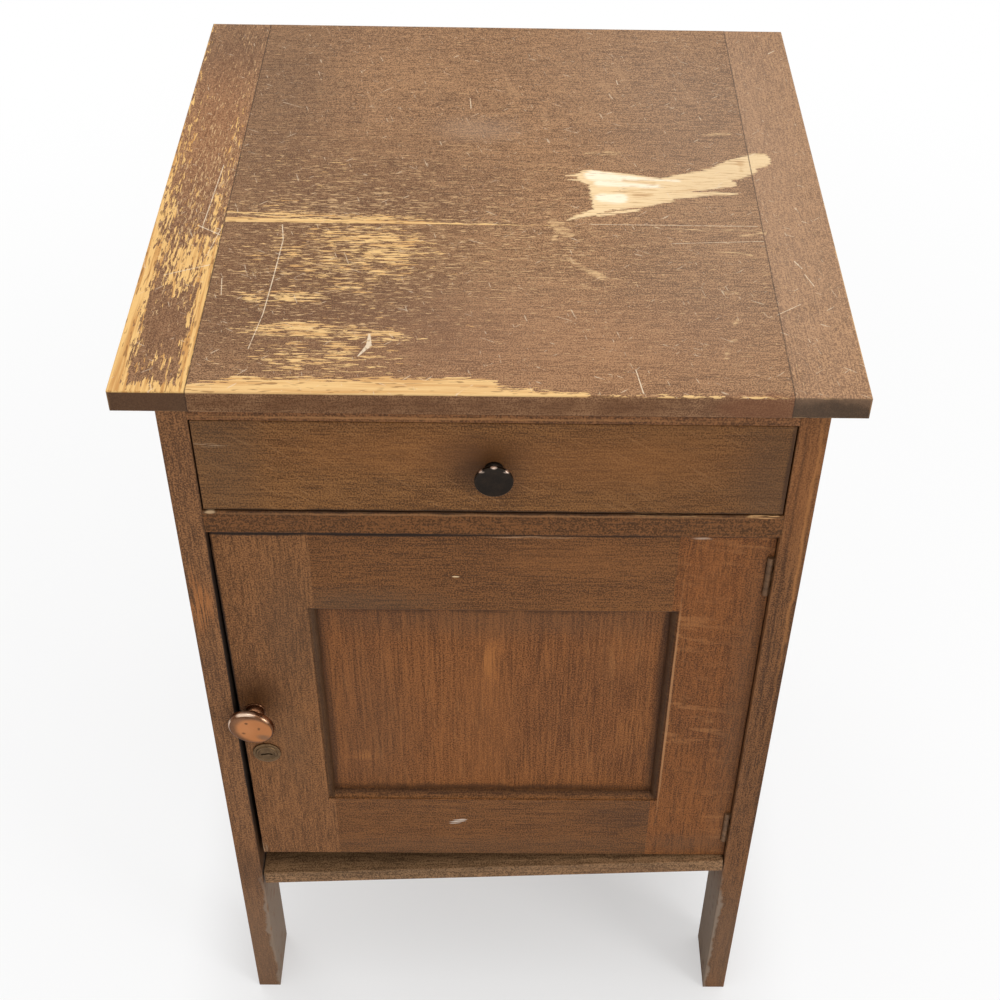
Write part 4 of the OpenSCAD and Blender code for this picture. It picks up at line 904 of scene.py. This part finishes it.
def metal(name, **changes):
    look = {**metalLook, **changes}
    material, tree, shader = newFinish(name)
    point = addNode(tree, "TexCoord").outputs["Object"]
    cloudy = noise(tree, mapped(tree, point, (look["scale"],) * 3, 0.4), 4.0, 0.6)
    fine = noise(tree, mapped(tree, point, (look["scale"] * look["finer"],) * 3, 0.7), 3.0, 0.6)
    color = mixColor(tree, fade(tree, fine, *look["brightCut"]), look["color"], look["bright"])
    dull = calc(tree, "MULTIPLY", fade(tree, cloudy, *look["patinaCut"]), look["patinaAmount"])
    color = mixColor(tree, dull, color, look["patina"])
    if look["marks"]:
        loose = noise(tree, mapped(tree, point, (look["looseness"],) * 3, 0.9), 2.0)
        color = withMarks(tree, color, look["marks"], point, loose, look["shake"], look["soft"])
    roughness = calc(tree, "MULTIPLY_ADD", cloudy, look["roughSpan"],
                     look["rough"] - look["roughSpan"] / 2)
    bump = addNode(tree, "Bump", {"Height": fine, "Strength": look["bump"],
                                  "Distance": look["bumpDistance"]})
    feed(tree, shader.inputs["Base Color"], color)
    feed(tree, shader.inputs["Roughness"], roughness)
    shader.inputs["Metallic"].default_value = look["metallic"]
    feed(tree, shader.inputs["Normal"], bump.outputs[0])
    return material


oldBrass = metal("old_brass", color=rgb(112, 88, 62), patina=rgb(70, 53, 37),
                 bright=rgb(142, 114, 82), patinaAmount=0.55, rough=0.42)
darkHinge = metal("stained_hinge", color=rgb(116, 82, 52), patina=rgb(76, 52, 32),
                  bright=rgb(138, 100, 64), patinaAmount=0.6, rough=0.55, metallic=0.3)
dullSteel = metal("dull_steel", color=rgb(120, 112, 104), patina=rgb(66, 54, 46),
                  bright=rgb(160, 154, 146), rough=0.45)
print("metal finishes made")

# Boards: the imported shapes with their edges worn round

boardMesh = {
    "weld": 0.000002,  # metres
    "flat": 0.5,  # degrees under which two faces are one
    "sliver": 0.000001,
    "sharp": 40,
}


def activate(piece):
    bpy.ops.object.select_all(action="DESELECT")
    piece.select_set(True)
    bpy.context.view_layer.objects.active = piece


def copyOfNode(node):
    piece = bpy.data.objects.new(node + "_worn", frame["nodes"][node].data.copy())
    piece.data.materials.clear()
    bpy.context.collection.objects.link(piece)
    activate(piece)
    bpy.ops.object.mode_set(mode="EDIT")
    bpy.ops.mesh.select_all(action="SELECT")
    bpy.ops.mesh.remove_doubles(threshold=boardMesh["weld"])
    bpy.ops.mesh.dissolve_limited(angle_limit=math.radians(boardMesh["flat"]))
    bpy.ops.object.mode_set(mode="OBJECT")
    return piece


def softenArrises(piece, node, radius, sides, cuts=2):
    # cuts a rounded arris wherever two of the named sides of the node's box meet
    corner = {}
    for side in sides.split():
        axis = "xyz".index(side[0])
        sign = 1 if side[1] == "1" else -1
        corner[side] = (axis, sign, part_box(node)[1 if sign > 0 else 0][axis])
    activate(piece)
    bpy.ops.object.mode_set(mode="EDIT")
    for first, second in itertools.combinations(corner, 2):
        (axisA, signA, atA), (axisB, signB, atB) = corner[first], corner[second]
        if axisA == axisB:
            continue
        for cut in range(cuts):
            turn = math.radians(90 * (cut + 0.5) / cuts)
            normal = Vector((0, 0, 0))
            normal[axisA], normal[axisB] = signA * math.cos(turn), signB * math.sin(turn)
            centre = Vector((0, 0, 0))
            centre[axisA], centre[axisB] = atA - signA * radius * mm, atB - signB * radius * mm
            bpy.ops.mesh.select_all(action="SELECT")
            bpy.ops.mesh.bisect(plane_co=centre + normal * radius * mm, plane_no=normal,
                                use_fill=True, clear_outer=True, threshold=boardMesh["sliver"])
    bpy.ops.object.mode_set(mode="OBJECT")


def roundAllArrises(piece, width):
    # for a board with no holes: every sharp edge at once
    activate(piece)
    bpy.ops.object.mode_set(mode="EDIT")
    bpy.ops.mesh.select_mode(type="EDGE")
    bpy.ops.mesh.select_all(action="DESELECT")
    bpy.ops.mesh.edges_select_sharp(sharpness=math.radians(boardMesh["sharp"]))
    bpy.ops.mesh.bevel(offset=width * mm, offset_type="OFFSET", segments=3)
    bpy.ops.object.mode_set(mode="OBJECT")


def finishBoard(piece, node, body, slotName, finish):
    # flat faces, because a hole in a board would bend the light around it
    activate(piece)
    bpy.ops.mesh.customdata_custom_splitnormals_clear()
    bpy.ops.object.shade_flat()
    piece.data.materials.append(finish)
    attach(piece, body)
    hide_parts(node)


behaviour = frame["record"]["behaviour"]
bodyOf = {node: body for body, nodes in behaviour["bodies"].items() for node in nodes}
slotOf = {row["node"]: row["material_slot"] for row in frame["record"]["subparts"]}

# the boards' rounded arrises: the radius in mm and the sides of the box that meet in them
boardArrises = (
    ("top_board_front", ((1.0, "y0 z0"), (1.2, "y0 z1"), (0.25, "y1 z1"))),
    ("top_board_middle", ((0.25, "y0 z1"), (0.2, "y1 z1"))),
    ("top_board_back", ((0.2, "y0 z1"), (1.0, "y1 z0 z1"))),
    ("top_end_left", ((1.3, "x0 y0 y1 z0 z1"), (0.25, "x1 z1"))),
    ("top_end_right", ((1.3, "x1 y0 y1 z0 z1"), (0.25, "x0 z1"))),
    ("front_post_left front_post_right back_post_left back_post_right",
     ((0.8, "x0 x1 y0 y1 z0"),)),
    ("side_bottom_rail_left side_bottom_rail_right", ((0.5, "x0 x1 z0"),)),
    ("top_front_rail", ((0.4, "y0 z0"),)),
    ("drawer_rail", ((0.7, "y0 z0 z1"),)),
    ("back_board_left back_board_middle back_board_right", ((0.7, "y1 x0 x1 z0"),)),
    ("drawer_front", ((0.8, "x0 x1 y0 z0 z1"),)),
    ("drawer_side_left drawer_side_right", ((0.6, "x0 x1 z0 z1"),)),
    ("lock_stile", ((0.8, "x0 y0 z0 z1"), (0.2, "x1 y0"))),
    ("hinge_stile", ((0.8, "x1 y0 z0 z1"), (0.2, "x0 y0"))),
    ("door_top_rail", ((0.8, "y0 z1"),)),
    ("door_bottom_rail", ((0.8, "y0 z0"),)),
    ("side_top_rail_left side_top_rail_right", ()),
    ("bottom_board", ()),
)
softened = [(node, rules) for nodes, rules in boardArrises for node in nodes.split()]
bottomBoardArris = 0.8
for node, rules in softened:
    piece = copyOfNode(node)
    for radius, sides in rules:
        softenArrises(piece, node, radius, sides)
    if node == "bottom_board":
        roundAllArrises(piece, bottomBoardArris)
    finishBoard(piece, node, bodyOf[node], slotOf[node], finishes.get(node) or finishes["raw_deep"])
print("boards softened:", len(softened))

# Turned pieces: the knobs, the rose and the lock's face

turnedWeld = 0.000005  # metres
turnedSmooth = 40  # degrees


def turnPiece(name, profile, centre, steps=96):
    # profile is a closed outline of (radius, height) in mm; the axis points forward, along -Y
    bpy.ops.object.select_all(action="DESELECT")
    bpy.ops.mesh.primitive_circle_add(vertices=len(profile), radius=mm, fill_type="NOTHING")
    piece = bpy.context.active_object
    piece.name = name
    for vertex, (radius, height) in zip(piece.data.vertices, profile):
        vertex.co = (radius * mm, -height * mm, 0)
    bpy.ops.object.mode_set(mode="EDIT")
    bpy.ops.mesh.select_all(action="SELECT")
    bpy.ops.mesh.spin(steps=steps, angle=math.tau, center=(0, 0, 0), axis=(0, 1, 0))
    bpy.ops.mesh.select_all(action="SELECT")
    bpy.ops.mesh.remove_doubles(threshold=turnedWeld)
    bpy.ops.mesh.delete_loose()
    bpy.ops.mesh.select_all(action="SELECT")
    bpy.ops.mesh.normals_make_consistent(inside=False)
    bpy.ops.object.mode_set(mode="OBJECT")
    bpy.ops.object.shade_smooth_by_angle(angle=math.radians(turnedSmooth))
    piece.location = centre
    return piece


def settle(piece):
    # leaves the place in the mesh and the object at the origin
    activate(piece)
    bpy.ops.object.transform_apply(location=True, rotation=True, scale=True)


def arc(cx, cy, radius, start, end, count=8):
    turns = [math.radians(start + (end - start) * i / count) for i in range(count + 1)]
    return [(cx + radius * math.cos(t), cy + radius * math.sin(t)) for t in turns]


def middleOf(node):
    low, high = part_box(node)
    return (low + high) / 2


# mm: "out" is how far the head's face stands out from the door, and "back" how far that is
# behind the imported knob's
doorKnobLook = {
    "head": 17.0, "headThick": 5.5, "out": 17.1, "back": 0.9, "shank": 7.3, "waist": 6.3,
    "stud": 2.2, "dish": 0.3, "arris": (1.1, 2.3),  # radius behind and in front
    "lean": (-5.5, 2.5),  # degrees to the right and down
}
drawerKnobLook = {
    "head": 12.4, "headThick": 4.0, "out": 13.0, "back": 0.0, "shank": 6.3, "waist": 4.5,
    "stud": 2.2, "dish": 0.2, "arris": (2.6, 0.8), "lean": (0.0, 0.0),
}
knobShape = {
    "footRise": 0.12,  # shares of the height under the head
    "neckRise": 0.93,
    "neck": 1.25,  # share of the shank's radius
    "swing": 0.5,  # how far outside the shank the waist's arc has its centre
    "waistArc": (230, 130, 10),  # degrees from and to, and steps
    "backArc": (-90, 0, 7),
    "bulge": 0.12,  # how far the rim stands out at its middle
    "frontArc": (0, 86, 7),
    "dishFrom": 1.8,  # share of the front arris where the face begins
    "dishEdge": 0.6,  # share of the dish's depth there
}
leanFrom, leanTo = 3, 7  # mm in front of the foot


def knobProfile(look, studLength):
    out, head, shank, stud = (look[key] for key in ("out", "head", "shank", "stud"))
    shape = knobShape
    under = out - look["headThick"]
    face = out - look["dish"]
    behind, front = look["arris"]
    swing = shank + shape["swing"]
    return [
        (0, -studLength), (stud, -studLength), (stud, 0),
        (shank, 0), (shank, under * shape["footRise"]),
        *arc(swing, under / 2, swing - look["waist"], *shape["waistArc"]),
        (shank * shape["neck"], under * shape["neckRise"]), (head - behind * 2, under),
        *arc(head - behind, under + behind, behind, *shape["backArc"]),
        (head + shape["bulge"], under + look["headThick"] / 2),
        *arc(head - front, out - front, front, *shape["frontArc"]),
        (head - front * shape["dishFrom"], out - look["dish"] * shape["dishEdge"]),
        (head / 2, face), (0, face)]


def leaned(look, share=1.0):
    turn, droop = (math.radians(angle) * share for angle in look["lean"])
    return Matrix.Rotation(turn, 3, "Z") @ Matrix.Rotation(droop, 3, "X")


def leanHead(piece, look):
    # the head leans a little on its shank, and the shank's foot stays flat
    foot = Vector((0, -leanFrom * mm, 0))
    for vertex in piece.data.vertices:
        share = min(max(-vertex.co.y / (leanTo * mm), 0.0), 1.0)
        vertex.co = leaned(look, share) @ (vertex.co - foot) + foot


def makeKnob(node, look, finish, behind):
    low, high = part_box(node)
    face = low.y + (look["out"] + look["back"]) * mm
    piece = turnPiece(node + "_turned", knobProfile(look, (high.y - face) / mm),
                      Vector(((low.x + high.x) / 2, face, (low.z + high.z) / 2)))
    leanHead(piece, look)
    settle(piece)
    piece.data.materials.append(finish)
    piece.data.materials.append(behind)
    return piece


doorKnobAt = middleOf("door_knob") / mm
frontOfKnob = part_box("door_knob")[0].y / mm


def onFace(x, z, wide, high, gain, color, **more):
    # a mark on the door knob's face, from its middle
    return mark(doorKnobAt.x + x, doorKnobAt.z + z, wide, high, gain, color, **more)


# a painted highlight on the door knob's rim, placed from its middle
def rimHighlight(x, z, size, gain, color, **more):
    return spot((doorKnobAt.x + x, frontOfKnob + 2, doorKnobAt.z + z), size, gain, color, **more)


copper = metal(
    "worn_copper", color=rgb(118, 80, 56), patina=rgb(78, 52, 36), bright=rgb(150, 110, 80),
    patinaAmount=0.4, scale=120, rough=0.46, bump=0.1, marks=[
        onFace(1.8, -1.6, 13.6, 13.2, 1.0, rgb(190, 125, 76), soft=0.16, shake=0.8),
        onFace(-6, 1, 7, 9, 0.3, rgb(218, 150, 98), shake=3),
        onFace(8, -9, 5, 3, 0.6, rgb(104, 88, 74)),
        onFace(-4, 6, 1.2, 0.9, 0.8, rgb(74, 50, 36)),
        onFace(5, 1, 1.0, 1.4, 0.7, rgb(84, 56, 40)),
        onFace(-7, -6, 1.3, 1.0, 0.7, rgb(84, 56, 40))])
rimBronze = metal(
    "rim_bronze", color=rgb(112, 72, 48), patina=rgb(62, 40, 27), bright=rgb(186, 140, 104),
    rough=0.28, patinaAmount=0.5, marks=[
        # painted highlights along the rim's top left, top right and left edge
        rimHighlight(-5, 15.5, (7, 3, 2.6), 0.9, rgb(238, 208, 182), soft=0.5, shake=0.6),
        rimHighlight(12, 11.5, (4, 3, 3.4), 0.7, rgb(214, 172, 140), soft=0.5, shake=0.6),
        rimHighlight(-16.4, 2, (1.3, 2.4, 9), 0.85, rgb(236, 204, 176), soft=0.4, shake=0.3)])
doorKnob = makeKnob("door_knob", doorKnobLook, rimBronze, copper)
ahead = leaned(doorKnobLook) @ Vector((0, -1, 0))
for face in doorKnob.data.polygons:  # the flat face is worn to bare copper
    if face.normal.dot(ahead) > 0.9 and face.center.y / mm < frontOfKnob + 3.5:
        face.material_index = 1
drawerKnobAt = middleOf("drawer_knob") / mm
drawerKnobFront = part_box("drawer_knob")[0].y / mm
# painted highlights on the drawer knob's rim
rimGlints = ((-8.2, 8.8, 2.6), (0, 11.9, 2.0), (8.2, 8.8, 2.6))  # right, up and half width
blackIron = metal(
    "black_iron", color=rgb(36, 27, 19), patina=rgb(20, 15, 11), bright=rgb(56, 43, 31),
    patinaAmount=0.5, rough=0.36, metallic=0.8, marks=[
        spot((drawerKnobAt.x + side, drawerKnobFront + 0.9, drawerKnobAt.z + up), (wide, 0.9, 1.1),
             0.95, rgb(232, 204, 184), soft=0.4, shake=0.1) for side, up, wide in rimGlints])
drawerKnob = makeKnob("drawer_knob", drawerKnobLook, blackIron, blackIron)

roseLook = {
    "bore": 2.3, "radius": 7.8, "thick": 1.2,
    "edge": 0.5,
    "edgeArc": (0, 90, 5),
    "slope": (1.6, 0.35),  # how far in from the edge, and how far down
    "middle": 0.3,  # how far down at the bore
}
lockFaceLook = {
    "bore": 5.45, "body": 7.2, "face": 10.6, "thick": 1.8,
    "rim": (0.7, 0.9),  # heights where the rim stops being straight and where its arc is centred
    "edge": 0.6,
    "edgeArc": (0, 75, 5),
    "ring": 8.0, "raised": 0.6,
    "ringFoot": ((0.9, 0.1), (0.35, 0.25), (0.1, 0.0)),  # how far outside the ring, and down
    "ringEdge": 0.4,
    "ringArc": (0, 90, 4),
    "groove": ((1.2, 0.0), (0.7, 0.35), (0.4, 0.0)),  # how far outside the bore, and down
}


def roseProfile(look):
    bore, radius, thick, edge = (look[key] for key in ("bore", "radius", "thick", "edge"))
    inwards, down = look["slope"]
    return [(bore, 0), (radius, 0), (radius, thick / 2),
            *arc(radius - edge, thick - edge, edge, *look["edgeArc"]),
            (radius - inwards, thick - down), (bore, thick - look["middle"])]


def lockProfile(look, back):
    bore, body, face, thick = (look[key] for key in ("bore", "body", "face", "thick"))
    ring, edge, ringEdge = (look[key] for key in ("ring", "edge", "ringEdge"))
    straight, centre = look["rim"]
    top = thick + look["raised"]
    return [(bore, -back), (body, -back), (body, 0), (face, 0), (face, straight),
            *arc(face - edge, centre, edge, *look["edgeArc"]),
            *((ring + outside, thick - down) for outside, down in look["ringFoot"]),
            *arc(ring - ringEdge, top - ringEdge, ringEdge, *look["ringArc"]),
            *((bore + outside, top - down) for outside, down in look["groove"]), (bore, top)]


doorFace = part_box("lock_stile")[0].y
rose = turnPiece("door_knob_rose_turned", roseProfile(roseLook),
                 Vector((middleOf("door_knob_rose").x, doorFace, middleOf("door_knob_rose").z)))
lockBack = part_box("lock_body")[1].y
lockFace = turnPiece("lock_body_turned", lockProfile(lockFaceLook, (lockBack - doorFace) / mm),
                     Vector((middleOf("lock_body").x, doorFace, middleOf("lock_body").z)))
for piece, node, finish in ((doorKnob, "door_knob", None), (drawerKnob, "drawer_knob", None),
                            (rose, "door_knob_rose", rimBronze), (lockFace, "lock_body", oldBrass)):
    settle(piece)
    if finish:
        piece.data.materials.append(finish)
    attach(piece, bodyOf[node])
    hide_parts(node)
print("knobs and lock turned")

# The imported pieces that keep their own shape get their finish

keptFinishes = (
    (finishes["side_panel_left"], "side_panel_left"),
    (finishes["side_panel_right"], "side_panel_right"),
    (finishes["back_rails"], "back_top_rail back_bottom_rail"),
    (finishes["door_panel"], "door_panel"),
    (finishes["raw_deep"],
     "bearer_left bearer_right runner_left runner_right kicker_left kicker_right"),
    (finishes["raw_across"], "drawer_stops drawer_back drawer_bottom"),
    (finishes["raw_upright"], "door_stop"),
    (dullSteel, "top_screws bearer_screws back_nails lock_cam lock_cam_screw"),
    (oldBrass, "drawer_knob_nut door_knob_nut lock_nut lock_plug"),
    (oldBrass, "hinge_screws_post hinge_screws_door"),
    (darkHinge, "hinge_leaves_post hinge_leaves_door hinge_pins"),
)
for finish, nodes in keptFinishes:
    for node in nodes.split():
        piece = frame["nodes"][node]
        for slot in piece.material_slots:
            slot.material = finish
        if not piece.material_slots:
            piece.data.materials.append(finish)
print("packed pieces finished:", sum(len(nodes.split()) for finish, nodes in keptFinishes))

# Floor, background and lights

stageLook = {
    "size": 9.0,
    "floor": 0.84,
    "floorRough": 0.9,
    "floorGloss": 0.1,
    "under": 0.45,  # how much white the camera sees under the cabinet
    "beside": 0.82,  # and around it
    "sideways": (0.20, 0.29),  # metres from the middle, where one passes into the other
    "ahead": (0.24, 0.50),
    "clear": (0.7, 1.6),  # where the floor becomes the white background
}


def makeFloor(look):
    bpy.ops.object.select_all(action="DESELECT")
    bpy.ops.mesh.primitive_plane_add(size=look["size"], location=(0, 0, 0))
    floor = bpy.context.active_object
    floor.name = "floor"
    material, tree, shader = newFinish("pale_floor")
    point = addNode(tree, "TexCoord").outputs["Object"]
    away = vectorCalc(tree, "LENGTH", point, output=1)
    steps = addNode(tree, "SeparateXYZ", {0: vectorCalc(tree, "ABSOLUTE", point)}).outputs
    around = calc(tree, "MAXIMUM", fade(tree, steps[0], *look["sideways"]),
                  fade(tree, steps[1], *look["ahead"]))
    share = calc(tree, "MULTIPLY_ADD", around, look["beside"] - look["under"], look["under"])
    far = fade(tree, away, *look["clear"])
    share = calc(tree, "MULTIPLY_ADD", far, calc(tree, "SUBTRACT", 1.0, share), share)
    shader.inputs["Base Color"].default_value = (*(look["floor"],) * 3, 1)
    shader.inputs["Roughness"].default_value = look["floorRough"]
    shader.inputs["Specular IOR Level"].default_value = look["floorGloss"]
    white = addNode(tree, "Emission", {"Color": (1, 1, 1, 1), "Strength": 1.0})
    seen = addNode(tree, "LightPath").outputs["Is Camera Ray"]
    both = addNode(tree, "MixShader", {0: calc(tree, "MULTIPLY", share, seen), 1: shader.outputs[0],
                                       2: white.outputs[0]})
    output = next(n for n in tree.nodes if n.type == "OUTPUT_MATERIAL")
    tree.links.new(both.outputs[0], output.inputs[0])
    floor.data.materials.append(material)


worldStrength = 0.6


def makeWorld(strength):
    world = bpy.data.worlds.new("studio")
    bpy.context.scene.world = world
    world.use_nodes = True
    tree = world.node_tree
    tree.nodes.clear()
    rays = addNode(tree, "LightPath").outputs
    seen = calc(tree, "MAXIMUM", rays["Is Camera Ray"],
                calc(tree, "MAXIMUM", rays["Is Glossy Ray"], rays["Is Transmission Ray"]))
    level = calc(tree, "MULTIPLY_ADD", seen, 1.0 - strength, strength)
    back = addNode(tree, "Background", {"Color": (1, 1, 1, 1), "Strength": level})
    output = addNode(tree, "OutputWorld")
    tree.links.new(back.outputs[0], output.inputs[0])


lamps = {
    "overhead": {"at": (0.3, -0.2, 2.6), "aim": (0, 0, 0.5), "size": 2.2, "watts": 28},
    "right": {"at": (2.1, -1.7, 1.5), "aim": (0, 0, 0.4), "size": 0.9, "watts": 24},
    "behind": {"at": (-1.8, 2.0, 1.8), "aim": (0, 0, 0.4), "size": 1.6, "watts": 14},
}


def makeLamp(name, look):
    data = bpy.data.lights.new(name, "AREA")
    data.shape = "SQUARE"
    data.size = look["size"]
    data.energy = look["watts"]
    lamp = bpy.data.objects.new(name, data)
    bpy.context.collection.objects.link(lamp)
    lamp.location = look["at"]
    aim = Vector(look["aim"]) - Vector(look["at"])
    lamp.rotation_euler = aim.to_track_quat("-Z", "Y").to_euler()


makeFloor(stageLook)
makeWorld(worldStrength)
for name, look in lamps.items():
    makeLamp(name, look)
print("stage made")

bpy.context.view_layer.update()
